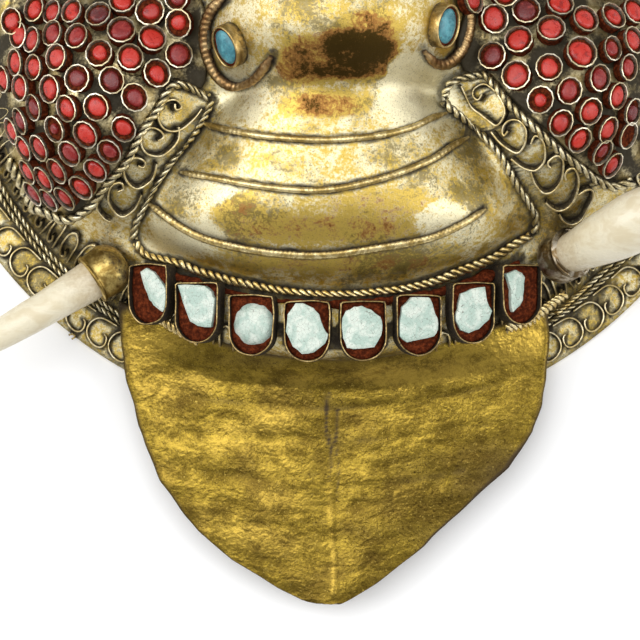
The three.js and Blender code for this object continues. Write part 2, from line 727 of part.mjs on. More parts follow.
const TUSK_RINGS = 5;
const TUSK_FOOT = 2;
function tusk(horn) {
  const length = horn.line.getLength();
  const profile = [new THREE.Vector2(0, TUSK_FOOT)];
  for (let k = 0; k <= TUSK_RINGS; k++) {
    const y = mix(TUSK_FOOT, length - TUSK_TIP_RADIUS, k / TUSK_RINGS);
    profile.push(new THREE.Vector2(tuskRadius(y / length, horn), y));
  }
  profile.push(new THREE.Vector2(0, length));
  return bentAlong(new THREE.LatheGeometry(profile, TUSK_SIDES), horn.line);
}

const SOCKET_BASE = { width: 0.7, depth: 0.8 };
function socket(horn) {
  const length = horn.line.getLength();
  const bore = (y) => tuskRadius(y / length, horn) + TUSK_CLEARANCE;
  const reach = SOCKET_REACH * RIM_RADIUS;
  const back = SOCKET_BACK * RIM_RADIUS;
  const mouth = bore(reach);
  const foot = TUSK_FOOT - TUSK_CLEARANCE;
  const profile = [
    new THREE.Vector2(0, -back),
    new THREE.Vector2(mouth * SOCKET_BASE.width, -back * SOCKET_BASE.depth),
    new THREE.Vector2(mouth + SOCKET_WALL + SOCKET_FLARE, TUSK_FOOT),
    new THREE.Vector2(mouth + SOCKET_WALL, reach),
    new THREE.Vector2(mouth, reach),
    new THREE.Vector2(bore(foot), foot),
    new THREE.Vector2(0, foot),
  ];
  return seated(bentAlong(new THREE.LatheGeometry(profile, TUSK_SIDES), horn.line));
}

function tusks() {
  return Object.entries(TUSKS).flatMap(([side, horn]) => [
    named(`tusk_${side}`, seated(tusk(horn)), BONE),
    named(`tusk_socket_${side}`, socket(horn), BRASS),
  ]);
}

// The tongue: a leaf of beaten brass, fixed behind the teeth and free to its tip
const TONGUE_ROWS = 8;
const TONGUE_COLUMNS = 6;
const TONGUE_BEND_AT = 0.2;
const TONGUE_CREASE_SHARPNESS = 8;
const TONGUE_CREASE_RUN = 0.3;
const TONGUE_LEAF = { fullness: 2.2, point: 0.75, blunt: 0.995 };
// The root's place and the heights along the leaf, in shares of the rim's radius
const TONGUE_ROOT = -0.7086;
const TONGUE_ROOT_SAG = 0.126;
const TONGUE_HEIGHTS = { root: 0.172, bend: 0.1126, tip: 0.0795, sides: 0.0358 };

function tongueHalfWidth(t) {
  const along = Math.min(t, TONGUE_LEAF.blunt);
  return TONGUE_HALF_WIDTH * (1 - along ** TONGUE_LEAF.fullness) ** TONGUE_LEAF.point;
}

function tonguePoint(s, t, lift) {
  const x = s * tongueHalfWidth(t);
  const root = TONGUE_ROOT - TONGUE_ROOT_SAG * (1 - s * s) * (1 - t) ** 3;
  const y = RIM_RADIUS * root - TONGUE_LENGTH * t;
  const crown = mix(TONGUE_HEIGHTS.bend, TONGUE_HEIGHTS.tip, t);
  const bend = (TONGUE_HEIGHTS.root - TONGUE_HEIGHTS.bend) * (1 - ease(t / TONGUE_BEND_AT)) * (1 - s * s);
  const sides = TONGUE_HEIGHTS.sides * s * s * Math.sqrt(1 - t);
  const creased = ease((t - TONGUE_BEND_AT) / TONGUE_CREASE_RUN);
  const depth = TONGUE_CREASE * bell(s * TONGUE_CREASE_SHARPNESS) * creased;
  return new THREE.Vector3(x, y, RIM_RADIUS * (crown + bend - sides) - depth + lift);
}

function tongue() {
  const rings = [];
  for (let row = 0; row <= TONGUE_ROWS; row++) {
    const t = row / TONGUE_ROWS;
    const ring = [];
    for (let k = 0; k <= TONGUE_COLUMNS; k++) {
      ring.push(tonguePoint((2 * k) / TONGUE_COLUMNS - 1, t, TONGUE_SHEET));
    }
    for (let k = TONGUE_COLUMNS; k >= 0; k--) ring.push(tonguePoint((2 * k) / TONGUE_COLUMNS - 1, t, 0));
    rings.push(ring);
  }
  return seated(solidOf(strip(rings, TONGUE_COLUMNS)));
}

// Rings that each run over the top of a sheet and back under it, joined, with both ends closed
function strip(rings, columns) {
  const count = rings[0].length;
  const faces = [];
  for (let ring = 0; ring + 1 < rings.length; ring++) {
    for (let k = 0; k < count; k++) {
      const [a, b] = [ring * count + k, ring * count + ((k + 1) % count)];
      faces.push(a, a + count, b, b, a + count, b + count);
    }
  }
  const last = (rings.length - 1) * count;
  for (let k = 0; k < columns; k++) {
    const [a, b, c, d] = [k, k + 1, count - 2 - k, count - 1 - k];
    faces.push(a, b, c, a, c, d);
    faces.push(last + a, last + c, last + b, last + a, last + d, last + c);
  }
  return indexed(rings.flat(), faces);
}

function tongues() {
  return [named("tongue", tongue(), BRASS)];
}

// Stones in bezels: the two nostrils and the third eye
const NOSTRILS = { left: { x: -0.232, y: -0.12, spin: 0.1 }, right: { x: 0.24, y: -0.078, spin: -0.15 } };
const THIRD_EYE = { x: 0, y: 0.66 };

function setStone(x, y, spin, width, length) {
  const place = raised(placeOnFace(x * RIM_RADIUS, y * RIM_RADIUS, 0, spin), width, length);
  const wall = extruded(
    ellipse(width / 2 + STONE_CLEARANCE + STONE_BEZEL_WALL, length / 2 + STONE_CLEARANCE + STONE_BEZEL_WALL),
    0,
    STONE_BEZEL_HEIGHT,
  );
  const well = extruded(
    ellipse(width / 2 + STONE_CLEARANCE, length / 2 + STONE_CLEARANCE),
    STONE_BEZEL_WALL,
    STONE_BEZEL_HEIGHT + 1,
  );
  const outline = outlineOf(ellipse(width / 2, length / 2));
  const foot = STONE_BEZEL_WALL + STONE_CLEARANCE;
  const stone = cutStone(outline, foot, STONE_BEZEL_HEIGHT, STONE_BEZEL_HEIGHT + STONE_CROWN);
  const bezel = seated(placed(wall, place)).subtract(placed(well, place));
  return [bezel, seated(placed(stone, place))];
}

const NOSTRIL_HOOKS = {
  left: [
    [-0.25, -0.005],
    [-0.27, -0.06],
    [-0.268, -0.165],
    [-0.226, -0.212],
    [-0.146, -0.18],
  ],
  right: [
    [0.277, -0.03],
    [0.279, -0.115],
    [0.25, -0.168],
    [0.185, -0.14],
  ],
};

function nostrils() {
  return Object.entries(NOSTRILS).flatMap(([side, { x, y, spin }]) => {
    const [bezel, stone] = setStone(x, y, spin, NOSTRIL_STONE_WIDTH, NOSTRIL_STONE_LENGTH);
    const hook = wireOnFace(NOSTRIL_HOOKS[side], NOSTRIL_HOOK_RADIUS, WIRE_STEPS.hook);
    return [
      named(`nostril_bezel_${side}`, bezel, BRASS),
      named(`nostril_stone_${side}`, stone, TURQUOISE),
      named(`nostril_wire_${side}`, hook, GILT),
    ];
  });
}

function thirdEye() {
  const [bezel, stone] = setStone(THIRD_EYE.x, THIRD_EYE.y, 0, THIRD_EYE_WIDTH, THIRD_EYE_LENGTH);
  return [named("third_eye_bezel", bezel, BRASS), named("third_eye", stone, TURQUOISE)];
}

// The eyes: domed white stones with dark pupils, under the brows
const EYE_SIDES = 8;
const EYE_SINK = 6;
const EYE_SHOULDER = { out: 0.7, up: 0.72 };
const EYE_LIFT = 1;

function eyeDome(radius, crown) {
  const profile = [
    [0, -EYE_SINK],
    [radius, -EYE_SINK],
    [radius, 0],
    [EYE_SHOULDER.out * radius, EYE_SHOULDER.up * crown],
    [0, crown],
  ];
  const points = profile.map(([x, y]) => new THREE.Vector2(x, y));
  return new THREE.LatheGeometry(points, EYE_SIDES).rotateX(Math.PI / 2);
}

function eyes() {
  return ["left", "right"].flatMap((name, k) => {
    const side = 2 * k - 1;
    const place = placeOnFace(side * LID.x * RIM_RADIUS, LID.y * RIM_RADIUS, SEAT_GAP + EYE_LIFT);
    const pupil = placed(extruded(polygon(PUPIL_RADIUS, EYE_SIDES), 0, EYE_CROWN + PUPIL_HEIGHT), place);
    const socket = placed(eyeDome(EYE_RADIUS + SEAT_GAP, EYE_CROWN + SEAT_GAP), place);
    return [
      named(`eye_${name}`, seated(placed(eyeDome(EYE_RADIUS, EYE_CROWN), place)), PALE_STONE),
      named(`pupil_${name}`, pupil.subtract(socket), JET),
    ];
  });
}

// The whole mask, with the middle of its length over the origin
const mask = new THREE.Group();
mask.add(
  ...maskShell(),
  ...coralCheeks(),
  ...wires(),
  ...teeth(),
  ...tusks(),
  ...tongues(),
  ...nostrils(),
  ...thirdEye(),
  ...eyes(),
);
mask.position.y = (TONGUE_LENGTH - (1 + TONGUE_ROOT) * RIM_RADIUS) / 2;

export default mask;
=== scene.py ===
import math
import random

import bmesh
import bpy
from mathutils import Matrix, Vector, kdtree, noise


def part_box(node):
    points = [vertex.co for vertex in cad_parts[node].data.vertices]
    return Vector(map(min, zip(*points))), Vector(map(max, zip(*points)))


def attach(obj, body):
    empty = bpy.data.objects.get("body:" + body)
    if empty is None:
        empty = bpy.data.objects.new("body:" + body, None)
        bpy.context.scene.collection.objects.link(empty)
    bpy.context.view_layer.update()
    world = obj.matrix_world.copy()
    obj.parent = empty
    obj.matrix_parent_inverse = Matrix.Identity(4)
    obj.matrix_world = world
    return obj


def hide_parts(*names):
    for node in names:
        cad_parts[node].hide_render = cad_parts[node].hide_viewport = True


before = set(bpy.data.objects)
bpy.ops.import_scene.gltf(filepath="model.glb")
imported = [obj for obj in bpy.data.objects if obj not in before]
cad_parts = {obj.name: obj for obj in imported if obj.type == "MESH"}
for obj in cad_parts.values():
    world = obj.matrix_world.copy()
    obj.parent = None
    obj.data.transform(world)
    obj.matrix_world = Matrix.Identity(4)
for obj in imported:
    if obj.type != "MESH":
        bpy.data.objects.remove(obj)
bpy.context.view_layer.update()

# The face: one sheet of copper, beaten up from behind over a mould, chased from the front and gilt.
# Its flat rim is part of the same sheet. The gilding is worn to copper on the nose, where a dark
# reflection is painted over it too, and painted shade with grime darkens every corner where a wire,
# a cup or a scroll was soldered on.
MM = 0.001
shell_low, shell_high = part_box("mask_shell")
RIM = (shell_high.x - shell_low.x) / 2
CENTRE = Vector(((shell_high.x + shell_low.x) / 2, (shell_high.y + shell_low.y) / 2))
SHEET = 1.5 * MM
RIM_WIDTH = 17 * MM

SKIRT = {"rise": 0.14, "run": 0.13}
VAULT = {"x": 0, "y": 0, "a": 0.8, "b": 0.82, "foot": 0.02, "rise": 0.28}
CHEEK = {"x": 0.5, "y": -0.25, "a": 0.33, "b": 0.38, "foot": 0.03, "rise": 0.28}
NOSE = {"x": 0, "y": -0.05, "a": 0.3, "b": 0.24, "foot": 0.29, "rise": 0.24}
LID = {"x": 0.3, "y": 0.28, "a": 0.2, "b": 0.17, "foot": 0.2, "rise": 0.17}
MUZZLE = {"foot": 0.22, "rise": 0.2, "power": 2.6, "crown": -0.42, "top": -0.28, "run": 0.3}
MUZZLE_SIDE = {"corner": -0.62, "half": 0.466, "power": 1.6, "least": 0.06}
MOUTH = {"a": 0.55, "foot": 0.06, "rise": 0.18, "depth": 0.19, "drop": 6, "fall": 2}
LIP = {"middle": -0.692, "lift": 0.119, "corner": 0.464, "power": 2.2}
BROW = {"inner": 0.09, "outer": 0.58, "root": 0.42, "arch": 0.12, "width": 0.07, "rise": 0.06}
BRIDGE = {"from": 0.12, "to": 0.42, "width": 0.09, "rise": 0.09, "fade": 0.1}
BLEND = 0.035
RIM_FILLET = 0.05
BORDER = 1 - RIM_WIDTH / RIM


def clamp(t):
    return min(1.0, max(0.0, t))


def ease(t):
    return clamp(t) ** 2 * (3 - 2 * clamp(t))


def bell(t):
    return math.exp(-t * t)


def mix(a, b, t):
    return a + (b - a) * t


def blend_max(a, b):
    return (a + b + math.hypot(a - b, BLEND)) / 2


def dome(s, power=2):
    return 1 - s**power if s < 1 else power * (1 - s)


def boss(form, x, y):
    reach = math.hypot((x - form["x"]) / form["a"], (y - form["y"]) / form["b"])
    return form["foot"] + form["rise"] * dome(reach)


def lip_line(x):
    return LIP["middle"] + LIP["lift"] * (abs(x) / LIP["corner"]) ** LIP["power"]


def muzzle(x, y):
    half = MUZZLE_SIDE["half"] - max(0, y - MUZZLE_SIDE["corner"]) ** MUZZLE_SIDE["power"]
    across = abs(x) / max(MUZZLE_SIDE["least"], half)
    down = max(0, (MUZZLE["crown"] - y) / (MUZZLE["crown"] - lip_line(x)))
    up = max(0, (y - MUZZLE["top"]) / MUZZLE["run"])
    reach = (across**3 + down**3 + up**3) ** (1 / 3)
    return MUZZLE["foot"] + MUZZLE["rise"] * dome(reach, MUZZLE["power"])


def mouth(x, y):
    across = abs(x) / MOUTH["a"]
    down = max(0, (lip_line(x) - y) / MOUTH["depth"])
    up = max(0, (y - lip_line(x)) / MOUTH["depth"] - 1)
    below = min(down ** MOUTH["drop"], MOUTH["drop"] * down)
    return MOUTH["foot"] + MOUTH["rise"] * (1 - across**2 - below - MOUTH["fall"] * up)


def brow(x, y):
    along = (abs(x) - BROW["inner"]) / (BROW["outer"] - BROW["inner"])
    line = BROW["root"] + BROW["arch"] * math.sin(math.pi * clamp(along))
    ends = ease((along + 0.15) / 0.25) * ease((1.1 - along) / 0.35)
    return BROW["rise"] * bell((y - line) / BROW["width"]) * ends


def bridge(x, y):
    fade = BRIDGE["fade"]
    ends = ease((y - BRIDGE["from"] + fade) / (2 * fade)) * ease((BRIDGE["to"] + fade - y) / (2 * fade))
    return BRIDGE["rise"] * bell(x / BRIDGE["width"]) * ends


def face_share(x, y):
    """The face's height over the floor, with all lengths in shares of the rim's radius."""
    r = math.hypot(x, y)
    if r >= BORDER:
        return SHEET / RIM
    z = SKIRT["rise"] * ease((BORDER - r) / SKIRT["run"])
    for form in (VAULT, CHEEK, LID):
        z = blend_max(z, boss(form, abs(x), y))
    z = blend_max(z, mouth(x, y))
    z = blend_max(z, muzzle(x, y))
    z = blend_max(z, boss(NOSE, x, y))
    z += brow(x, y) + bridge(x, y)
    return SHEET / RIM + z * ease((BORDER - r) / RIM_FILLET)


def face_height(x, y):
    return RIM * face_share((x - CENTRE.x) / RIM, (y - CENTRE.y) / RIM)


def face_normal(x, y):
    step = 0.6 * MM
    dx = (face_height(x + step, y) - face_height(x - step, y)) / (2 * step)
    dy = (face_height(x, y + step) - face_height(x, y - step)) / (2 * step)
    return Vector((-dx, -dy, 1)).normalized()


def on_face(x, y, lift=0.0):
    return Vector((x, y, face_height(x, y))) + face_normal(x, y) * lift


def wrapped(bm):
    """Lays a bmesh that was made on the flat, with z as its height, over the face."""
    for vert in bm.verts:
        vert.co = on_face(vert.co.x, vert.co.y, vert.co.z)
    return bm


def from_middle(u, v):
    """A place in the plan, from shares of the rim's radius."""
    return Vector((CENTRE.x + u * RIM, CENTRE.y + v * RIM))


# The photograph shows the rim's middle at this pixel, and its edge this many pixels away.
PHOTO_MIDDLE = Vector((335, -5))
PHOTO_RADIUS = 431.4


def pictured(px, py):
    """The place in the plan that a pixel shows at the level of the lower face."""
    return from_middle((px - PHOTO_MIDDLE.x) / PHOTO_RADIUS, (PHOTO_MIDDLE.y - py) / PHOTO_RADIUS)


CAMERA_HEIGHT = 2.4
FACE_LEVEL = 0.03
PHOTO_CENTRE = pictured(320, 320)


def seen(px, py, lift=0.0):
    """The place in the plan over which a pixel shows something that stands this far out from the face."""
    flat = pictured(px, py)
    place = flat.copy()
    for _ in range(10):
        point = on_face(place.x, place.y, lift)
        nearer = (CAMERA_HEIGHT - point.z) / (CAMERA_HEIGHT - FACE_LEVEL)
        place += PHOTO_CENTRE + (flat - PHOTO_CENTRE) * nearer - point.xy
    return place


def new_piece(name, bm, material, smooth=True):
    """Makes a bmesh a piece of the mask, with its material."""
    mesh = bpy.data.meshes.new(name)
    bm.to_mesh(mesh)
    bm.free()
    for face in mesh.polygons:
        face.use_smooth = smooth
    mesh.materials.append(material)
    piece = bpy.data.objects.new(name, mesh)
    bpy.context.scene.collection.objects.link(piece)
    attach(piece, "root")
    return piece


def thickened(piece, thickness):
    """Gives a sheet its thickness, inwards from the surface that is seen."""
    wall = piece.modifiers.new("sheet", "SOLIDIFY")
    wall.thickness = thickness
    wall.offset = -1


class Finish:
    """A material's nodes, with short calls for the few kinds that the mask's finishes use."""

    def __init__(self, name, metallic, roughness):
        self.material = bpy.data.materials.new(name)
        self.material.use_nodes = True
        self.nodes = self.material.node_tree.nodes
        self.links = self.material.node_tree.links
        self.shader = self.nodes["Principled BSDF"]
        self.shader.inputs["Metallic"].default_value = metallic
        self.shader.inputs["Roughness"].default_value = roughness
        self.place = self.nodes.new("ShaderNodeTexCoord").outputs["Object"]

    def join(self, value, socket):
        if isinstance(value, bpy.types.NodeSocket):
            self.links.new(value, socket)
        elif isinstance(value, tuple):
            socket.default_value = (*value, 1)
        else:
            socket.default_value = value

    def texture(self, kind, size, stretch=(1, 1, 1)):
        mapping = self.nodes.new("ShaderNodeMapping")
        mapping.inputs["Scale"].default_value = [s / size for s in stretch]
        self.links.new(self.place, mapping.inputs["Vector"])
        node = self.nodes.new(kind)
        self.links.new(mapping.outputs["Vector"], node.inputs["Vector"])
        return node

    def noise(self, size, detail=4.0, roughness=0.55, distortion=0.0, stretch=(1, 1, 1)):
        """Clouds whose lumps are about size metres across."""
        node = self.texture("ShaderNodeTexNoise", size, stretch)
        node.inputs["Scale"].default_value = 1
        node.inputs["Detail"].default_value = detail
        node.inputs["Roughness"].default_value = roughness
        node.inputs["Distortion"].default_value = distortion
        return node.outputs["Fac"]

    def cracks(self, size):
        """The distance to the nearest edge of cells about size metres across."""
        node = self.texture("ShaderNodeTexVoronoi", size)
        node.feature = "DISTANCE_TO_EDGE"
        return node.outputs["Distance"]

    def attribute(self, name):
        node = self.nodes.new("ShaderNodeAttribute")
        node.attribute_name = name
        return node.outputs["Fac"]

    def between(self, value, low, high, start=0.0, end=1.0):
        """A value that goes from start to end as the given one goes from low to high."""
        node = self.nodes.new("ShaderNodeMapRange")
        node.interpolation_type = "SMOOTHSTEP"
        for socket, number in zip(node.inputs[1:5], (low, high, start, end)):
            socket.default_value = number
        self.join(value, node.inputs[0])
        return node.outputs[0]

    def math(self, kind, a, b):
        node = self.nodes.new("ShaderNodeMath")
        node.operation = kind
        self.join(a, node.inputs[0])
        self.join(b, node.inputs[1])
        return node.outputs[0]

    def plus(self, a, b, times, around=0.0):
        """a and times as much of what b has over the value around."""
        over = self.math("SUBTRACT", b, around) if around else b
        return self.math("ADD", a, self.math("MULTIPLY", over, times))

    def less(self, a, b, times=1.0):
        return self.math("SUBTRACT", a, self.math("MULTIPLY", b, times) if times != 1.0 else b)

    def blend(self, share, a, b):
        """Colour a where share is 0 and colour b where it is 1."""
        node = self.nodes.new("ShaderNodeMix")
        node.data_type = "RGBA"
        self.join(share, node.inputs[0])
        self.join(a, node.inputs[6])
        self.join(b, node.inputs[7])
        return node.outputs[2]

    def bump(self, height, depth, before=None):
        node = self.nodes.new("ShaderNodeBump")
        node.inputs["Strength"].default_value = 1
        node.inputs["Distance"].default_value = depth
        self.links.new(height, node.inputs["Height"])
        if before is not None:
            self.links.new(before, node.inputs["Normal"])
        return node.outputs["Normal"]

    def done(self, color, roughness=None, metallic=None, normal=None):
        for name, value in (
            ("Base Color", color),
            ("Roughness", roughness),
            ("Metallic", metallic),
            ("Normal", normal),
        ):
            if value is not None:
                self.links.new(value, self.shader.inputs[name])
        return self.material


PALE_GOLD = (0.84, 0.77, 0.52)
GOLD = (0.58, 0.41, 0.09)
OLIVE = (0.2, 0.15, 0.045)
RUST = (0.34, 0.16, 0.045)
COPPER_AND_DARK_REFLECTION = (0.06, 0.036, 0.008)
GRIME_AND_SHADE = (0.035, 0.026, 0.014)
GILT_DENT = 0.12 * MM


def gilt_finish():
    """Old fire gilding: pale in patches and as painted highlights, olive where tarnished, copper where worn
    off, with a painted dark reflection on the nose and painted shade with grime beside the wires.
    """
    f = Finish("gilt_copper_face", 1.0, 0.3)
    wide = f.noise(26 * MM, 5, 0.6, 0.4)
    patches = f.noise(7 * MM, 6, 0.7, 0.6)
    specks = f.noise(1.3 * MM, 6, 0.78, 0.3)
    fine = f.noise(0.5 * MM, 4, 0.7)
    bare_and_lit = f.attribute("worn_and_lit")
    # Negative patches are painted highlights, made paler and cleaner
    painted_highlight = f.math("MAXIMUM", f.math("MULTIPLY", bare_and_lit, -1.0), 0.0)
    mottle = f.plus(f.math("MULTIPLY", patches, 0.4), specks, 0.6)
    mottle = f.plus(mottle, painted_highlight, 0.12)
    mottle = f.less(mottle, f.math("MAXIMUM", bare_and_lit, 0.0), 0.2)
    color = f.blend(f.between(mottle, 0.44, 0.56), GOLD, PALE_GOLD)
    tarnish = f.less(f.plus(wide, specks, 0.9), painted_highlight, 0.2)
    color = f.blend(f.between(tarnish, 0.95, 1.07, 0, 0.85), color, OLIVE)
    color = f.blend(f.between(fine, 0.56, 0.66, 0, 0.7), color, OLIVE)
    worn_and_lit = f.plus(f.plus(bare_and_lit, patches, 1.5, 0.5), specks, 1.3, 0.5)
    color = f.blend(f.between(worn_and_lit, 0.3, 0.6), color, RUST)
    # Near black where worn through, and on the nose as a painted dark reflection
    color = f.blend(f.between(worn_and_lit, 0.55, 0.85), color, COPPER_AND_DARK_REFLECTION)
    color = f.blend(f.between(specks, 0.6, 0.72, 0, 0.7), color, RUST)
    dirt_and_shade = f.less(f.less(1.0, f.attribute("wear_and_shading")), painted_highlight, 0.3)
    dirt_and_shade = f.between(f.plus(dirt_and_shade, patches, 0.9, 0.5), 0.3, 0.95)
    color = f.blend(dirt_and_shade, color, GRIME_AND_SHADE)
    rough = f.plus(f.between(f.plus(patches, fine, 0.4), 0.5, 0.95, 0.34, 0.55), dirt_and_shade, 0.3)
    normal = f.bump(f.noise(8 * MM, 2, 0.5), 3 * GILT_DENT)
    normal = f.bump(f.plus(specks, fine, 0.4), 1.4 * GILT_DENT, normal)
    return f.done(color, rough, f.less(1.0, dirt_and_shade, 0.6), normal)


gilt = gilt_finish()

SHELL_CELLS = 200
SHELL_BORDER_RING = 0.92

# Where the gilding is worn off, and on the nose a dark reflection is painted as well: pixel of the
# photograph, half sizes in pixels, and how bare it is; below nought the gilding is painted paler instead, as
# a painted highlight
WORN_AND_LIT_PATCHES = (
    ((308, 60), (27, 21), 0.64),
    ((358, 50), (36, 20), 1.0),
    ((345, 70), (44, 8), 0.9),
    ((372, 28), (24, 16), 0.6),
    ((325, 104), (36, 12), 0.55),
    ((322, 228), (96, 14), 0.36),
    ((235, 210), (22, 16), 0.3),
    ((340, 262), (110, 10), 0.34),
    ((380, 205), (60, 14), 0.28),
    ((452, 30), (26, 30), 0.4),
    ((418, 92), (34, 38), -1.0),
    ((245, 98), (26, 24), -0.5),
    ((182, 238), (34, 15), -1.0),
    ((450, 222), (28, 18), -0.6),
    ((205, 190), (30, 14), -0.5),
)

# Lines beside which the face is darkened with painted shade and grime, filled in by the sections below
shade_and_grime_lines = []


def disc_place(a, b):
    """The place on the round sheet of a place on a square grid."""
    ring = max(abs(a), abs(b))
    if ring == 0:
        return Vector((0, 0))
    flank = abs(a) >= abs(b)
    turn = (b / a) * math.pi / 4 if flank else math.pi / 2 - (a / b) * math.pi / 4
    face = min(1, ring / SHELL_BORDER_RING) * (RIM - RIM_WIDTH)
    radius = face + max(0, (ring - SHELL_BORDER_RING) / (1 - SHELL_BORDER_RING)) * RIM_WIDTH
    side = math.copysign(1, a if flank else b)
    return Vector((radius * side * math.cos(turn), radius * side * math.sin(turn)))


def worn_and_lit_at(place, patches):
    worn_and_lit = 0.0
    pixel = RIM / PHOTO_RADIUS
    for middle, (wide, high), bare_and_lit in patches:
        reach = math.hypot((place.x - middle.x) / (wide * pixel), (place.y - middle.y) / (high * pixel))
        worn_and_lit = max(worn_and_lit, bare_and_lit * ease(1.6 - reach), key=abs)
    return worn_and_lit


def beaten_shell():
    bm = bmesh.new()
    bmesh.ops.create_grid(bm, x_segments=SHELL_CELLS, y_segments=SHELL_CELLS, size=1)
    worn_and_lit = bm.verts.layers.float.new("worn_and_lit")
    patches = [(seen(*pixel), reach, bare_and_lit) for pixel, reach, bare_and_lit in WORN_AND_LIT_PATCHES]
    for vert in bm.verts:
        place = disc_place(vert.co.x, vert.co.y) + CENTRE
        vert.co = on_face(place.x, place.y)
        vert[worn_and_lit] = worn_and_lit_at(place, patches)
    bmesh.ops.recalc_face_normals(bm, faces=bm.faces)
    return bm


# Twisted wire: two drawn wires twisted together, soldered along the edges of the face's parts.
# Silvered ones run round the cheeks and down beside the muzzle, a bright gilt one over the teeth.
SPAN_SAMPLES = 24


def flowing(points, step, closed=False):
    """Evenly spaced points of a smooth line through the given ones."""
    count = len(points)
    fine = []
    for k in range(count if closed else count - 1):
        near = [(k + j) % count if closed else min(max(k + j, 0), count - 1) for j in (-1, 0, 1, 2)]
        a, b, c, d = (points[i] for i in near)
        for s in range(SPAN_SAMPLES):
            t = s / SPAN_SAMPLES
            bow = (c - a) * t + (2 * a - 5 * b + 4 * c - d) * t**2 + (3 * b - a - 3 * c + d) * t**3
            fine.append(b + bow / 2)
    fine.append(points[0] if closed else points[-1])
    length = sum((q - p).length for p, q in zip(fine, fine[1:]))
    steps = max(2, round(length / step))
    even, walked, k = [], 0.0, 0
    for target in (length * n / steps for n in range(steps if closed else steps + 1)):
        while k < len(fine) - 2 and walked + (fine[k + 1] - fine[k]).length < target:
            walked += (fine[k + 1] - fine[k]).length
            k += 1
        span = (fine[k + 1] - fine[k]).length or 1
        even.append(fine[k].lerp(fine[k + 1], clamp((target - walked) / span)))
    return even


def pixel_line(pixels, step, lift=0.0, closed=False):
    """A smooth line in the plan through the places that pixels of the photograph show."""
    return flowing([seen(*p, lift) for p in pixels], step, closed)


def plan_tree(places, level=0.0):
    """A search tree of places in the plan, at one level."""
    tree = kdtree.KDTree(len(places))
    for k, place in enumerate(places):
        tree.insert(Vector((place.x, place.y, level)), k)
    tree.balance()
    return tree


def drawn_wire(lines, radius, sides=6, closed=False, stand=0.0, widths=None):
    """Wire along lines, as a bmesh: round, or a ribbon on edge where stand gives its height."""
    curve = bpy.data.curves.new("wire", "CURVE")
    curve.dimensions = "2D" if stand else "3D"
    curve.fill_mode = "NONE" if stand else "FULL"
    curve.bevel_depth = radius
    curve.bevel_resolution = (sides - 4) // 2
    curve.extrude = stand / 2
    curve.use_fill_caps = not stand
    for line in lines:
        spline = curve.splines.new("POLY")
        spline.points.add(len(line) - 1)
        spline.use_cyclic_u = closed
        for k, place in enumerate(line):
            spline.points[k].co = (place.x, place.y, 0 if stand else place.z, 1)
            spline.points[k].radius = widths[k] if widths else 1
    holder = bpy.data.objects.new("wire", curve)
    mesh = bpy.data.meshes.new_from_object(holder)
    bm = bmesh.new()
    bm.from_mesh(mesh)
    bpy.data.objects.remove(holder)
    bpy.data.curves.remove(curve)
    bpy.data.meshes.remove(mesh)
    return bm


def mark_wear_and_shading(bm, share):
    """Writes how bright each point is, from 0 in crevices and at feet, where painted shade and dirt lie, to 1
    on rubbed tops that carry a painted highlight, by a function of its place.
    """
    layer = bm.verts.layers.float.get("wear_and_shading") or bm.verts.layers.float.new("wear_and_shading")
    for vert in bm.verts:
        vert[layer] = clamp(share(vert.co))


def joined(parts):
    """Several bmeshes as one. Each gives its float layers on."""
    whole = bmesh.new()
    for part in parts:
        mesh = bpy.data.meshes.new("part")
        part.to_mesh(mesh)
        part.free()
        whole.from_mesh(mesh)
        bpy.data.meshes.remove(mesh)
    return whole


def twisted(line, radius, pitch, lift=0.0, closed=False, loose=0.0):
    """Two wires twisted round a line in the plan, laid over the face. radius is the whole rope's."""
    axis_height = lift + radius
    samples = len(line)
    strands, turns = [], []
    walked = 0.0
    for k in range(samples):
        turns.append(walked)
        walked += (line[(k + 1) % samples] - line[k]).length if closed or k + 1 < samples else 0
    whole_turns = round(walked / pitch)
    for half in (0, math.pi):
        strand = []
        for k in range(samples):
            ahead = line[(k + 1) % samples] if closed or k + 1 < samples else line[k]
            behind = line[k - 1] if closed or k > 0 else line[k]
            along = (ahead - behind).normalized()
            side = Vector((-along.y, along.x))
            turn = half + 2 * math.pi * whole_turns * turns[k] / walked
            sway = loose * noise.noise(Vector((line[k].x, line[k].y, 0)) * 60)
            flat = line[k] + side * (math.cos(turn) * radius / 2 + sway)
            strand.append(Vector((flat.x, flat.y, axis_height + math.sin(turn) * radius / 2)))
        strands.append(strand)
    bm = drawn_wire(strands, radius * 0.56, 6, closed)
    tree = plan_tree(line, axis_height)
    # Dark between the strands and low down by the face, as painted shade and dirt; bright on the outer tops,
    # as a painted highlight on rubbed wire
    mark_wear_and_shading(bm, lambda place: ease(tree.find(place)[2] / radius * 2 - 1) * ease(place.z / axis_height - 0.15))
    shade_and_grime_lines.append((line, radius))
    return wrapped(bm)


def silvered_finish(name, bright, body, dark, green):
    """Washed or gilt wire and strip: bright where it is rubbed and lit as a painted highlight, green in
    specks, dark in the crevices with painted shade and dirt.
    """
    f = Finish(name, 1.0, 0.4)
    patches = f.noise(5 * MM, 5, 0.65, 0.5)
    specks = f.noise(1.1 * MM, 4, 0.65)
    color = f.blend(f.between(patches, 0.42, 0.62), body, bright)
    color = f.blend(f.between(specks, 0.55, 0.7, 0, 0.6), color, green)
    dirt_and_shade = f.between(f.plus(f.less(1.0, f.attribute("wear_and_shading")), specks, 0.8, 0.5), 0.3, 0.85)
    color = f.blend(dirt_and_shade, color, dark)
    rough = f.plus(f.between(specks, 0.3, 0.7, 0.28, 0.46), dirt_and_shade, 0.3)
    return f.done(color, rough, f.less(1.0, dirt_and_shade, 0.6), f.bump(specks, 0.1 * MM))


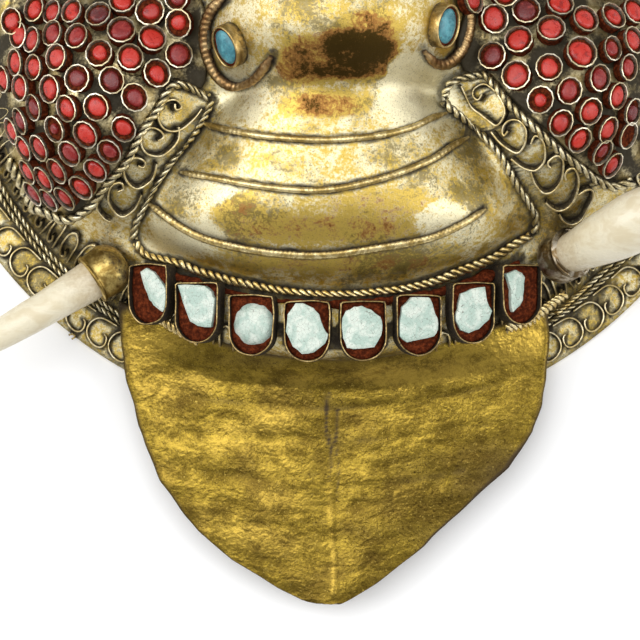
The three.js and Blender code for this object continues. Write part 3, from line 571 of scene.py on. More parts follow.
silvered = silvered_finish(
    "silvered_wire", (0.78, 0.7, 0.47), (0.46, 0.38, 0.2), (0.022, 0.017, 0.009), (0.16, 0.14, 0.06)
)
bright_gilt = silvered_finish(
    "bright_gilt_wire", (0.84, 0.71, 0.39), (0.56, 0.41, 0.15), (0.03, 0.017, 0.007), (0.24, 0.15, 0.05)
)

ROPE_RADIUS = 1.5 * MM
ROPE_PITCH = 6.4 * MM
ROPE_STEP = 0.75 * MM
ROPE_SWAY = 0.3 * MM

# Lines by the photograph's pixels
CHEEK_ROPES = {
    "left": ((210, 97), (190, 88), (172, 85), (164, 93), (156, 109), (146, 122), (137, 137), (126, 160),
             (109, 179), (95, 200), (80, 212), (67, 216), (48, 208), (38, 204), (30, 187), (14, 158)),
    "right": ((441, 99), (445, 84), (457, 77), (485, 75), (495, 84), (506, 97), (516, 109), (533, 124),
              (548, 137), (563, 152), (580, 166), (594, 177), (610, 184), (628, 178)),
}
MUZZLE_ROPES = {
    "left": ((212, 101), (208, 114), (196, 135), (181, 152), (168, 166), (160, 179), (152, 194), (145, 208),
             (137, 223), (135, 238)),
    "right": ((441, 103), (447, 110), (464, 122), (478, 131), (493, 143), (506, 160), (516, 181), (529, 202),
              (535, 215), (533, 230)),
}
LIP_ROPE = (
    (137, 242), (147, 255), (179, 261), (200, 269), (232, 278), (274, 287), (316, 292), (352, 292),
    (373, 290), (405, 286), (436, 278), (457, 269), (489, 257), (510, 244), (529, 234),
)
LIP_ROPE_RADIUS = 1.45 * MM
LIP_ROPE_PITCH = 5.4 * MM
LIP_ROPE_STEP = 0.9 * ROPE_STEP

for side in ("left", "right"):
    rope = pixel_line(CHEEK_ROPES[side], ROPE_STEP)
    rope = twisted(rope, ROPE_RADIUS, ROPE_PITCH, 1 * MM, loose=ROPE_SWAY)
    piece = new_piece(f"cheek_twist_{side}", rope, silvered)
    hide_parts(f"cheek_rope_{side}")
    rope = pixel_line(MUZZLE_ROPES[side], ROPE_STEP)
    rope = twisted(rope, ROPE_RADIUS, ROPE_PITCH, 0.2 * MM, loose=ROPE_SWAY)
    piece = new_piece(f"muzzle_twist_{side}", rope, silvered)
    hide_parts(f"muzzle_rope_{side}")

lip_rope = twisted(pixel_line(LIP_ROPE, LIP_ROPE_STEP), LIP_ROPE_RADIUS, LIP_ROPE_PITCH)
piece = new_piece("lip_twist", lip_rope, bright_gilt)
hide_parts("lip_rope")

# The rim's ornament: two thin twisted wires run round the face, and outside them stands a row of
# scrolls, each a strip of thin sheet set on edge and curled. They are soldered to the rim, and mirror
# each other from the chin up both sides. Long narrow loops of the same strip climb the face's side wall.
RIM_TWIST_RADIUS = 1.05 * MM
RIM_TWIST_PITCH = 5.2 * MM
RIM_TWIST_STEP = 0.8 * MM
RIM_TWIST_LIFT = 0.1 * MM
RIM_TWIST_CIRCLES = (RIM - RIM_WIDTH + 1.5 * MM, RIM - RIM_WIDTH + 3.7 * MM)
STRIP = 0.34 * MM
STRIP_HEIGHT = 2.6 * MM
STRIP_SHADE_AND_GRIME = 0.5 * MM
RIM_SCROLL_PITCH = 9.2 * MM
RIM_SCROLL_INNER = RIM - RIM_WIDTH + 5.2 * MM
RIM_SCROLL_OUTER = RIM - 1.8 * MM
# A scroll's line: the share of the way out over the rim, and millimetres along it towards the chin
RIM_SCROLL = (
    (0.0, 3.0), (0.06, -2.6), (0.29, -4.9), (0.62, -5.2), (0.86, -3.7), (1.0, -0.8), (0.98, 2.1), (0.8, 3.3),
    (0.54, 2.4), (0.5, 1.1),
)
LOOP_PITCH = 6.8 * MM
LOOP_OUTER = RIM - RIM_WIDTH - 2 * MM
LOOP_LENGTHS = (7 * MM, 12 * MM)
LOOP_HALF_WIDTH = 2.2 * MM


def circle_line(radius, step):
    count = round(2 * math.pi * radius / step)
    turns = (2 * math.pi * k / count for k in range(count))
    return [CENTRE + radius * Vector((math.cos(turn), math.sin(turn))) for turn in turns]


def ribbons(lines, height=STRIP_HEIGHT):
    """Strips of sheet that stand on edge along lines in the plan, laid over the face."""
    bm = drawn_wire(lines, STRIP, 6, stand=height)
    bmesh.ops.translate(bm, vec=(0, 0, height / 2), verts=bm.verts)
    # Dark towards the foot as painted shade, bright along the top edge
    mark_wear_and_shading(bm, lambda place: 0.12 + 0.16 * clamp(place.z / height) + 0.85 * clamp((place.z - height) / STRIP))
    shade_and_grime_lines.extend((line, STRIP_SHADE_AND_GRIME) for line in lines)
    return wrapped(bm)


def rim_scrolls():
    middle_radius = (RIM_SCROLL_INNER + RIM_SCROLL_OUTER) / 2
    count = int(math.pi * middle_radius / RIM_SCROLL_PITCH)
    lines = []
    for side in (-1, 1):
        for k in range(count):
            turn = -math.pi / 2 + side * (k + 0.5) * math.pi / count
            size = 1 + 0.1 * noise.noise(Vector((k * 0.7, side, 0)))
            outline = []
            for out, along in RIM_SCROLL:
                radius = mix(RIM_SCROLL_INNER, RIM_SCROLL_OUTER, out)
                bend = turn - side * size * along * MM / radius
                outline.append(CENTRE + radius * Vector((math.cos(bend), math.sin(bend))))
            lines.append(flowing(outline, 0.9 * MM))
    return lines


def wall_loops():
    lines = []
    draw = random.Random(5)
    count = int(math.pi * LOOP_OUTER / LOOP_PITCH)
    for side in (-1, 1):
        for k in range(4, count):
            turn = -math.pi / 2 + side * (k + 0.5) * math.pi / count
            along = Vector((math.cos(turn), math.sin(turn)))
            across = Vector((-along.y, along.x)) * side
            wide = LOOP_HALF_WIDTH * draw.uniform(0.85, 1.1)
            length = draw.uniform(*LOOP_LENGTHS)
            slant = draw.uniform(0.0, 0.35)
            outline = (
                (0, -wide), (0.4, -1.05 * wide), (0.8, -0.9 * wide), (1.0, -0.1 * wide), (0.82, 0.8 * wide),
                (0.45, wide), (0.12, 0.75 * wide), (0.02, 0.1 * wide), (0.16, -0.25 * wide),
                (0.3, 0.05 * wide),
            )
            points = []
            for s, t in outline:
                points.append(CENTRE + along * (LOOP_OUTER - length * s) + across * (t + slant * length * s))
            lines.append(flowing(points, 0.8 * MM))
    return lines


rim_parts = [
    twisted(circle_line(radius, RIM_TWIST_STEP), RIM_TWIST_RADIUS, RIM_TWIST_PITCH, RIM_TWIST_LIFT, True)
    for radius in RIM_TWIST_CIRCLES
]
piece = new_piece("rim_twists", joined(rim_parts), silvered)
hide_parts("rim_rope")
gilt_strip = silvered_finish(
    "gilt_strip", (0.86, 0.76, 0.5), (0.56, 0.44, 0.2), (0.03, 0.021, 0.01), (0.22, 0.17, 0.07)
)
new_piece("rim_scrolls", ribbons(rim_scrolls()), gilt_strip)
new_piece("wall_loops", ribbons(wall_loops(), height=1.5 * MM), gilt_strip)

# The bands of scrolls beside the muzzle: strips of silvered sheet on edge, each curled at its upper end
# and swept round into a long arm that lies against the next one. Lines by the photograph's pixels.
BAND_SCROLLS = {
    "left": (
        ((202, 109), (195, 118), (180, 130), (166, 130), (159, 121), (159, 110), (166, 101.5), (176, 100),
         (182, 107), (176, 110), (175, 104)),
        ((179, 127), (178, 141), (164, 155), (149.5, 155), (142, 147), (142, 135), (149.5, 128), (159, 130),
         (164, 137), (158, 141)),
        ((157, 164), (152, 180), (138, 189), (128, 183), (124, 172), (127, 162), (137, 158), (145, 162),
         (144, 168), (138, 166)),
        ((142, 195), (135, 209), (124, 217), (116, 214), (109, 203), (109, 192), (113, 185), (121, 183),
         (124, 189), (118, 192)),
        ((99, 197), (97, 209), (104, 219), (110, 222)),
    ),
    "right": (
        ((461, 86), (470, 105), (480, 114), (490, 122), (497, 125.5), (503.5, 117), (504, 107), (498, 95),
         (490, 87), (483, 84), (474, 89), (473, 96), (478, 100), (482, 94)),
        ((491, 132), (500, 143), (511, 151), (518, 153), (524, 146), (526, 137), (525, 128), (519, 121),
         (511, 120), (504.5, 124.5), (502, 132), (504, 136), (508, 131)),
        ((511, 159), (521, 167), (530, 170.5), (537, 170), (544, 162), (545, 150), (542, 140), (535, 136),
         (531, 144)),
        ((530.5, 172), (535, 184), (543, 193), (552.5, 192), (561, 181.6), (563.5, 167), (562, 158.6),
         (556.4, 156), (549.7, 160.5), (547.8, 165), (550.6, 168)),
        ((545.4, 202.6), (552.5, 209), (561, 211), (570.7, 205.5), (577.4, 192), (578.4, 178), (574.5, 169),
         (568.8, 169.6), (565, 175), (566, 180)),
        ((559, 214), (564, 222), (572, 225), (581, 221), (587, 211), (592.7, 200), (592.7, 191), (587, 190),
         (579, 195)),
    ),
}
BAND_STRIP_HEIGHT = 3 * MM

for side, pixel_lines in BAND_SCROLLS.items():
    lines = [pixel_line(pixels, 0.7 * MM, BAND_STRIP_HEIGHT) for pixels in pixel_lines]
    new_piece(f"band_scrolls_{side}", ribbons(lines, height=BAND_STRIP_HEIGHT), gilt_strip)

# The coral cheeks: a silvered sheet on each cheek, set with round cups of silver sheet in rows that follow
# its edge. Each cup is filled with dark red lac, and a coral is pressed into it. Some are small, chipped
# or sit askew, and a few cups have lost theirs.
CORAL_BACKING = 1.8 * MM
BACKING_SHEET = 1.4 * MM
CUP_RADIUS = 5.15 * MM
CUP_FOOT = 0.84
CUP_HEIGHT = 4.1 * MM
CUP_SHEET = 0.42 * MM
CUP_SPLAY = 0.6
CUP_CROWDING = 1.04
CUP_SIDES = 12
CUP_PITCH = 9.7 * MM
CUP_INSET = 6
LAC_LEVEL = 2.9 * MM
CORAL_RADIUS = 4.05 * MM

# The sheets' edges by the photograph's pixels, carried on beyond its own edge
SHEET_EDGES = {
    "left": (
        (205, 29), (204, 60), (200, 88), (180, 82), (164, 90), (150, 112), (140, 127), (130, 143), (120, 162),
        (103, 184), (89, 203), (74, 212), (60, 212), (46, 205), (34, 195), (22, 176), (5, 138), (-2, 75),
        (12, 6), (46, -51), (106, -74), (172, -51),
    ),
    "right": (
        (465, 29), (463, 55), (468, 72), (485, 71), (500, 82), (512, 97), (524, 108), (539, 121), (554, 135),
        (569, 150), (585, 164), (598, 173), (612, 178), (630, 176), (648, 165), (666, 138), (672, 75),
        (658, 6), (624, -51), (564, -74), (498, -51),
    ),
}
SHEET_MIDDLES = {"left": (99, 70), "right": (571, 70)}

# The cups by the pixel at the middle of each one's mouth, then the tone of its coral, from 0 for maroon to
# 1 for pink, and the coral's size, which is 0 where it is lost
CORALS = {
    "left": (
        (122, 29, 0.25, 1), (153, 37, 0.6, 1), (178, 23, 0.6, 0.75), (180, 54, 0.3, 1), (131, 57, 0.75, 1),
        (100, 53, 0.55, 0.75), (158, 72, 0.6, 0.8), (112, 79, 0.1, 0.95), (136, 97, 0.2, 0.85),
        (77, 77, 0.15, 0.85), (77, 35, 0.35, 0.95), (57, 56, 0.8, 0.95), (50, 88, 0.65, 0.9),
        (97, 107, 0.6, 0.95), (67, 108, 0.6, 0.9), (124, 128, 0.5, 0.85), (55, 129, 0.2, 0.55),
        (86, 134, 0.55, 0.95), (110, 151, 0.2, 0.8), (70, 153, 0.3, 0.95), (96, 170, 0.5, 0.9),
        (39, 148, 0.45, 0.9), (58, 171, 0.45, 0.85), (81, 188, 0.5, 0.85), (44, 179, 0.6, 0.9),
        (65, 198, 0.4, 0.8), (49, 200, 0.2, 0.9), (33, 194, 0.3, 0.9), (33, 107, 0.15, 0.85),
        (33, 66, 0.65, 0.95), (20, 87, 0.55, 0.95), (32, 39, 0.5, 0.95), (53, 32, 0.35, 0.95),
        (52, 10, 0.5, 0.95), (72, 10, 0.65, 0.95), (99, 13, 0.05, 0.95), (150, 10, 0.45, 0.8),
        (123, 0, 0.6, 0.95), (176, -4, 0.2, 0.9), (35, 8, 0.6, 0.9), (15, 61, 0.6, 0.95),
        (19, 34, 0.75, 0.95), (20, 120, 0.2, 0.9), (11, 131, 0.55, 0.95), (23, 148, 0.6, 0.9),
        (28, 172, 0.6, 0.9), (3, 78, 0.6, 0.9), (13, 21, 0.55, 0.9),
    ),
    "right": (
        (494.8, 19, 0.6, 1), (526.4, 8.7, 0.1, 1), (517.8, 38.8, 0.6, 1), (550.4, 27.6, 0.85, 1),
        (491.2, 55, 0.15, 0.9), (515.2, 74.5, 0.5, 1.1), (548.9, 65.8, 0.75, 0.9), (581, 51, 0.65, 1.25),
        (559.6, 2, 0.65, 1), (585, 16.8, 0.75, 0.95), (612.6, 15.3, 0.7, 0.8), (635, 10, 0.65, 0.95),
        (612.6, 47.4, 0.35, 0.85), (633, 38.8, 0.65, 0.9), (599.4, 77.5, 0.3, 0.95), (628.5, 66.3, 0.4, 0.85),
        (569.3, 90.3, 0.35, 0.95), (540, 99.5, 0.5, 0.65), (589.7, 110.2, 0.6, 0.95),
        (617.8, 94.9, 0.65, 0.95), (633, 111.2, 0.1, 0.8), (559.6, 123, 0.45, 0.9), (579, 139.3, 0.6, 0.9),
        (608, 129.6, 0.65, 0.95), (629, 135.7, 0, 0), (602.4, 152, 0.2, 0.7), (613, 166, 0.5, 0.85),
        (475, 0, 0.5, 0.9),
    ),
}


def framed(x, y, lift, tilt=None):
    """A place on the face with z along its normal and y towards the forehead."""
    up = face_normal(x, y)
    if tilt is not None:
        up = (up + tilt).normalized()
    right = Vector((0, 1, 0)).cross(up).normalized()
    forward = up.cross(right)
    turned = Matrix((right, forward, up)).transposed().to_4x4()
    return Matrix.Translation(on_face(x, y, lift)) @ turned


def sheet_edge(side):
    return pixel_line(SHEET_EDGES[side], 3 * MM, CORAL_BACKING, closed=True)


def inward(start, middle):
    """Places on the way from the field's edge to its middle, a millimetre apart as walked over the face."""
    points = [on_face(*start.lerp(middle, k / 90)) for k in range(91)]
    return flowing(points, 1 * MM)


def cup_places(side):
    """The photographed cups with their corals, then more of them where the photograph ends."""
    places = []
    for px, py, tone, size in CORALS[side]:
        plan = seen(px, py, CORAL_BACKING + CUP_HEIGHT)
        places.append((on_face(plan.x, plan.y), tone, size))
    draw = random.Random(len(places))
    ways = [inward(start, seen(*SHEET_MIDDLES[side])) for start in sheet_edge(side)]
    for inset in range(CUP_INSET, 60):
        for way in ways:
            place = way[min(inset, len(way) - 1)]
            if min((place - other).length for other, *_ in places) < CUP_PITCH:
                continue
            pixel = (place.xy - CENTRE) / RIM * PHOTO_RADIUS
            px, py = PHOTO_MIDDLE.x + pixel.x, PHOTO_MIDDLE.y - pixel.y
            if py < -4 or px < 2 or px > 642:
                tone = draw.choice((0.15, 0.3, 0.45, 0.55, 0.6, 0.65, 0.8))
                places.append((place, tone, draw.uniform(0.85, 1)))
    return places


def cup_form():
    bm = bmesh.new()
    bmesh.ops.create_cone(
        bm, cap_ends=False, segments=CUP_SIDES, radius1=CUP_RADIUS * CUP_FOOT, radius2=CUP_RADIUS,
        depth=CUP_HEIGHT, matrix=Matrix.Translation((0, 0, CUP_HEIGHT / 2)),
    )
    bmesh.ops.recalc_face_normals(bm, faces=bm.faces)
    for share in (0.8, 0.93):
        everything = bm.verts[:] + bm.edges[:] + bm.faces[:]
        bmesh.ops.bisect_plane(bm, geom=everything, plane_co=(0, 0, CUP_HEIGHT * share), plane_no=(0, 0, 1))
    bmesh.ops.solidify(bm, geom=bm.faces[:], thickness=CUP_SHEET)

    # Dark down towards the foot, as painted shade inside and between the cups, and pale at the rim
    def wear_and_shading(place):
        up = place.z / CUP_HEIGHT
        return 0.08 + 0.25 * clamp(up) + 0.8 * ease((up - 0.94) / 0.05)

    mark_wear_and_shading(bm, wear_and_shading)
    return bm


def lac_form():
    bm = bmesh.new()
    reach = CUP_RADIUS - CUP_SHEET / 2
    bmesh.ops.create_cone(
        bm, cap_ends=True, segments=CUP_SIDES, radius1=reach, radius2=reach, depth=LAC_LEVEL,
        matrix=Matrix.Translation((0, 0, LAC_LEVEL / 2)),
    )
    return bm


def coral_form():
    bm = bmesh.new()
    bmesh.ops.create_cone(
        bm, cap_ends=True, segments=CUP_SIDES, radius1=CORAL_RADIUS, radius2=CORAL_RADIUS * 0.8,
        depth=1.9 * MM, matrix=Matrix.Translation((0, 0, LAC_LEVEL + 0.35 * MM)),
    )
    top = [face for face in bm.faces if face.normal.z > 0.9]
    bmesh.ops.bevel(
        bm, geom=list(top[0].edges), offset=0.8 * MM, offset_type="OFFSET", segments=2, profile=0.5,
        affect="EDGES", material=-1,
    )
    top = [face for face in bm.faces if face.normal.z > 0.99]
    bmesh.ops.poke(bm, faces=top)
    return bm


def lac_finish():
    f = Finish("lac", 0.0, 0.85)
    f.shader.inputs["Specular IOR Level"].default_value = 0.06
    grain = f.noise(1.3 * MM, 5, 0.7)
    color = f.blend(f.between(grain, 0.4, 0.7), (0.04, 0.007, 0.002), (0.16, 0.032, 0.009))
    return f.done(color, normal=f.bump(grain, 0.25 * MM))


def coral_finish():
    f = Finish("coral", 0.0, 0.3)
    tone = f.attribute("tone")
    mottle = f.noise(2.6 * MM, 5, 0.65, 0.5)
    grain = f.noise(0.6 * MM, 3, 0.6)
    color = f.blend(f.between(tone, 0.0, 0.25), (0.07, 0.012, 0.012), (0.2, 0.01, 0.009))
    color = f.blend(f.between(tone, 0.25, 0.6), color, (0.47, 0.02, 0.01))
    color = f.blend(f.between(tone, 0.65, 0.95), color, (0.5, 0.048, 0.036))
    color = f.blend(f.between(mottle, 0.5, 0.72, 0, 0.4), color, (0.56, 0.1, 0.075))
    color = f.blend(f.between(mottle, 0.5, 0.32, 0, 0.7), color, (0.16, 0.01, 0.01))
    rough = f.between(mottle, 0.35, 0.65, 0.22, 0.42)
    return f.done(color, rough, normal=f.bump(grain, 0.12 * MM))


lac = lac_finish()
coral = coral_finish()
cup_silver = silvered_finish(
    "cup_silver", (0.9, 0.83, 0.66), (0.5, 0.42, 0.25), (0.022, 0.018, 0.012), (0.16, 0.14, 0.07)
)
# The cheek sheet's colours are a darker copy of the cups' silver, as painted shade between the cups
shaded_backing_silver = silvered_finish(
    "cheek_sheet", (0.66, 0.56, 0.32), (0.34, 0.26, 0.11), (0.03, 0.022, 0.008), (0.14, 0.11, 0.045)
)


def lumpy(form, reach, draw):
    """A copy of a stone's form with a waving outline."""
    stone = form.copy()
    lumps = draw.uniform(0, 50)
    for vert in stone.verts:
        turn = math.atan2(vert.co.y, vert.co.x)
        wave = 0.06 * math.sin(2 * turn + lumps) + 0.04 * math.sin(3 * turn + 2 * lumps)
        vert.co.xy *= reach * (1 + wave)
    return stone


def coral_cheek(side):
    draw = random.Random(11 if side == "left" else 23)
    cups, lacs, corals = [], [], []
    forms = cup_form(), lac_form(), coral_form()
    places = cup_places(side)
    for place, tone, size in places:
        outwards = (place.xy - CENTRE).to_3d()
        tilt = Vector((draw.uniform(-1, 1), draw.uniform(-1, 1), 0)) * 0.06
        tilt += outwards.normalized() * CUP_SPLAY * ease(outwards.length / RIM - 0.3)
        wide = draw.uniform(0.96, 1.03) * max(1, 0.35 + 0.65 * size)
        room = min((place - other).length for other, *_ in places if other is not place) * CUP_CROWDING
        narrow = wide * min(1, max(0.42, room / (2 * CUP_RADIUS)))
        stand = framed(place.x, place.y, CORAL_BACKING, tilt)
        across = stand.to_3x3().inverted() @ outwards
        turned = Matrix.Rotation(math.atan2(across.y, across.x), 4, "Z")
        stand = stand @ turned @ Matrix.Diagonal((narrow, wide, draw.uniform(0.9, 1.06), 1))
        cup = forms[0].copy()
        bmesh.ops.transform(cup, matrix=stand, verts=cup.verts)
        cups.append(cup)
        fill = forms[1].copy()
        bmesh.ops.transform(fill, matrix=stand, verts=fill.verts)
        lacs.append(fill)
        if size == 0:
            continue
        stone = lumpy(forms[2], min(size, 1.02), draw)
        loose = MM * (0.15 + 2.2 * max(0, 0.9 - size))
        shift = Matrix.Translation((draw.uniform(-1, 1) * loose, draw.uniform(-1, 1) * loose, 0))
        bmesh.ops.transform(stone, matrix=stand @ shift, verts=stone.verts)
        layer = stone.verts.layers.float.new("tone")
        for vert in stone.verts:
            vert[layer] = tone
        corals.append(stone)
    for form in forms:
        form.free()
    return joined(cups), joined(lacs), joined(corals)


def cheek_backing(side):
    edge = sheet_edge(side)
    middle = seen(*SHEET_MIDDLES[side])
    start = min(range(len(edge)), key=lambda k: abs(math.atan2(*(edge[k] - middle).yx)))
    edge = edge[start:] + edge[:start]
    if (edge[1] - middle).cross(edge[0] - middle) > 0:
        edge = edge[:1] + edge[:0:-1]
    bm = bmesh.new()
    bmesh.ops.create_grid(bm, x_segments=56, y_segments=56, size=1)
    layer = bm.verts.layers.float.new("wear_and_shading")
    for vert in bm.verts:
        a, b = vert.co.x, vert.co.y
        ring = max(abs(a), abs(b))
        turn = 0 if ring == 0 else (math.atan2(*disc_place(a, b).yx) / math.tau) % 1
        share = turn * len(edge)
        k = int(share) % len(edge)
        out = edge[k].lerp(edge[(k + 1) % len(edge)], share - int(share))
        place = middle.lerp(out, ring * 1.02)
        vert.co = on_face(place.x, place.y, CORAL_BACKING)
        # Mostly dark, as painted shade and dirt between the cups, with random bright spots as painted glints
        vert[layer] = 0.3 + 0.8 * noise.noise(vert.co * 150)
    bmesh.ops.recalc_face_normals(bm, faces=bm.faces)
    return bm


for side in ("left", "right"):
    cups, lacs, corals = coral_cheek(side)
    new_piece(f"coral_cups_{side}", cups, cup_silver, smooth=False)
    new_piece(f"coral_lac_{side}", lacs, lac, smooth=False)
    new_piece(f"corals_{side}", corals, coral)
    piece = new_piece(f"cheek_sheet_{side}", cheek_backing(side), shaded_backing_silver)
    thickened(piece, BACKING_SHEET)
    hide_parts(f"coral_cheek_{side}")
    # The face along the sheet's edge is darkened as painted shade and grime
    shade_and_grime_lines.append((sheet_edge(side), 1.2 * MM))

# The muzzle's three ribs: half-round wire, ribbed by rolling, soldered across the muzzle from side to side.
RIBS = (
    ((203, 122), (213, 127), (247, 134), (281, 138), (328, 140), (376, 136), (410, 128), (430, 119),
     (445, 114)),
    ((182, 173), (213, 178), (267, 187), (322, 190), (376, 180), (426, 162), (452, 146), (467, 138)),
    ((150, 203), (180, 225), (213, 240), (267, 251), (322, 254), (376, 247), (426, 238), (460, 224),
     (484, 209)),
)
RIB_RADIUS = 1.2 * MM
RIB_BEAD = 1.5 * MM
RIB_STEP = 0.4 * MM
RIB_TAPER = 4 * MM


def ribbed(line, radius, lift=0.0, bead=RIB_BEAD):
    """Wire with a bead every so often, thinner at both ends, laid over the face."""
    length = RIB_STEP * (len(line) - 1)
    widths = []
    for k in range(len(line)):
        along = k * RIB_STEP
        ends = 0.5 + 0.5 * ease(min(along, length - along) / RIB_TAPER)
        widths.append(ends * (0.92 + 0.13 * abs(math.sin(math.pi * along / bead))))
    bm = drawn_wire([[Vector((p.x, p.y, lift + radius * 0.55)) for p in line]], radius, 8, widths=widths)
    # Dark underneath as painted shade, bright over the top; the face gets painted shadows along both sides
    mark_wear_and_shading(bm, lambda place: 0.1 + 0.8 * ease((place.z - lift) / (radius * 1.6) - 0.1))
    shade_and_grime_lines.append((line, radius))
    return wrapped(bm)


rib_gilt = silvered_finish(
    "rib_gilt", (0.8, 0.66, 0.34), (0.42, 0.3, 0.1), (0.04, 0.022, 0.008), (0.2, 0.12, 0.045)
)
for k, pixels in enumerate(RIBS):
    rib = ribbed(pixel_line(pixels, RIB_STEP), RIB_RADIUS)
    piece = new_piece(f"ribbed_wire_{k + 1}", rib, rib_gilt)
    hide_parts(f"muzzle_rib_{k + 1}")

# The teeth: eight D-shaped cups of thin brass strip, soldered side by side under the lip so that the row
# bends back round the mouth. Each is filled with red-brown lac that holds a chipped slab of pale stone,
# except the third, which holds a round bead.
TOOTH_COUNT = 8
TOOTH_ROW_BEND = 0.768
TOOTH_PITCH = 18.2 * MM
TOOTH_HALF = 8.1 * MM
TOOTH_TOP = 10.6 * MM
TOOTH_CUP_HEIGHT = 6 * MM
TOOTH_STRIP = 0.55 * MM
TOOTH_STRIP_INSET = 0.3 * MM
TOOTH_LAC_INSET = 0.5 * MM
TOOTH_LAC_LEVEL = 4.1 * MM
TOOTH_STONE_INSET = 0.75 * MM
TOOTH_STONE_FOOT = 2 * MM
TOOTH_STONE_TOP = 6.9 * MM
TOOTH_LEAN_AT = 4 * MM
TOOTH_CROWN = 0.55 * MM
ROUND_STONE = 2
ROUND_CROWN = 2.6 * MM

# Each stone's outline by the photograph's pixels, and how far it leans across and along
TOOTH_STONES = (
    (((141, 272), (147, 268), (154, 272), (163, 284), (169, 289), (172, 299), (173, 311), (163, 312),
      (154, 305), (150, 300), (145, 287)), 0.03, 0.0),
    (((179, 281), (194, 278), (198.5, 284), (206, 286), (213, 292), (216, 299), (212, 327), (198.5, 325.5),
      (191, 321), (184, 302)), -0.04, 0.03),
    (((233, 316), (238, 306), (252, 302), (268, 306), (277, 318), (277, 331), (269, 342), (256, 347),
      (242, 343), (232, 330)), 0.0, 0.0),
    (((296, 300.5), (303, 299), (313.5, 308), (319, 314), (324, 328.5), (328, 334), (325, 343), (313.5, 352),
      (302, 353.5), (293, 346), (286, 331), (288, 314)), 0.0, 0.04),
    (((354, 307), (361.5, 306), (371, 310), (380, 317), (382, 325), (381, 335), (374, 347), (353, 349),
      (347, 348), (343, 338), (340, 329), (342.5, 318), (346, 311)), -0.03, -0.02),
    (((410.6, 292), (424.6, 292), (429, 298.5), (433, 310), (436.5, 318), (437, 329), (433, 336), (420, 339),
      (406, 342), (399, 336), (399, 321), (401, 307)), 0.04, 0.02),
    (((471, 289), (484, 287), (486, 301), (491, 311), (488, 319.5), (478, 329), (468, 333), (460, 330),
      (455.5, 321), (455.5, 314), (458, 303), (460, 294)), -0.03, 0.0),
    (((505, 274), (515, 270), (521, 273), (524, 277.5), (523, 290), (522, 300), (519, 305.5), (512, 312),
      (510, 304), (510, 290), (507, 280)), 0.02, 0.0),
)


def tooth_outline(inset, step=1.2 * MM):
    half, top = TOOTH_HALF - inset, TOOTH_TOP - inset
    bottom = half - top
    corners = [(-half, bottom), (-half, top - 2 * MM), (-half + 1.5 * MM, top), (half - 1.5 * MM, top)]
    corners += [(half, top - 2 * MM), (half, bottom)]
    turns = (-math.pi * k / 8 for k in range(1, 8))
    corners += [(half * math.cos(turn), bottom + half * math.sin(turn)) for turn in turns]
    return flowing([Vector(p) for p in corners], step, closed=True)


def oval(wide, high, count):
    turns = (math.tau * k / count for k in range(count))
    return [Vector((wide * math.cos(turn), high * math.sin(turn))) for turn in turns]


def tooth_stand(k):
    low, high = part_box(f"tooth_cup_{k + 1}")
    turn = (k - (TOOTH_COUNT - 1) / 2) * TOOTH_PITCH / (TOOTH_ROW_BEND * RIM)
    base = high.z - TOOTH_CUP_HEIGHT * math.cos(turn) - TOOTH_HALF * abs(math.sin(turn))
    across = (low.x + high.x) / 2 - TOOTH_CUP_HEIGHT / 2 * math.sin(turn)
    place = Matrix.Translation((across, (low.y + high.y) / 2, base))
    return place @ Matrix.Rotation(turn, 4, "Y")


def filled(outline, low, high, crown):
    """A slab with a rounded top edge, from a closed outline in its own plane."""
    bm = bmesh.new()
    bmesh.ops.create_circle(bm, cap_ends=True, segments=len(outline), radius=1)
    for vert, place in zip(bm.verts, outline):
        vert.co = (place.x, place.y, low)
    risen = bmesh.ops.extrude_face_region(bm, geom=bm.faces[:])
    tops = [item for item in risen["geom"] if isinstance(item, bmesh.types.BMVert)]
    bmesh.ops.translate(bm, vec=(0, 0, high - low), verts=tops)
    bmesh.ops.recalc_face_normals(bm, faces=bm.faces)
    lid = [face for face in bm.faces if all(vert in tops for vert in face.verts)]
    for share in (1, 0.55):
        bmesh.ops.inset_region(bm, faces=lid, thickness=crown, depth=crown * 0.55 * share)
    middle = bmesh.ops.poke(bm, faces=lid)
    for vert in middle["verts"]:
        vert.co.z += crown * 0.2
    return bm


def within_cup(place, wall):
    """A place moved inside the cup's wall, where it lies over or beyond it."""
    half = TOOTH_HALF - wall
    low = TOOTH_HALF - TOOTH_TOP
    x, y = max(-half, min(half, place.x)), min(TOOTH_TOP - wall, place.y)
    if y < low and math.hypot(x, y - low) > half:
        reach = half / math.hypot(x, y - low)
        x, y = x * reach, low + (y - low) * reach
    return Vector((x, y))


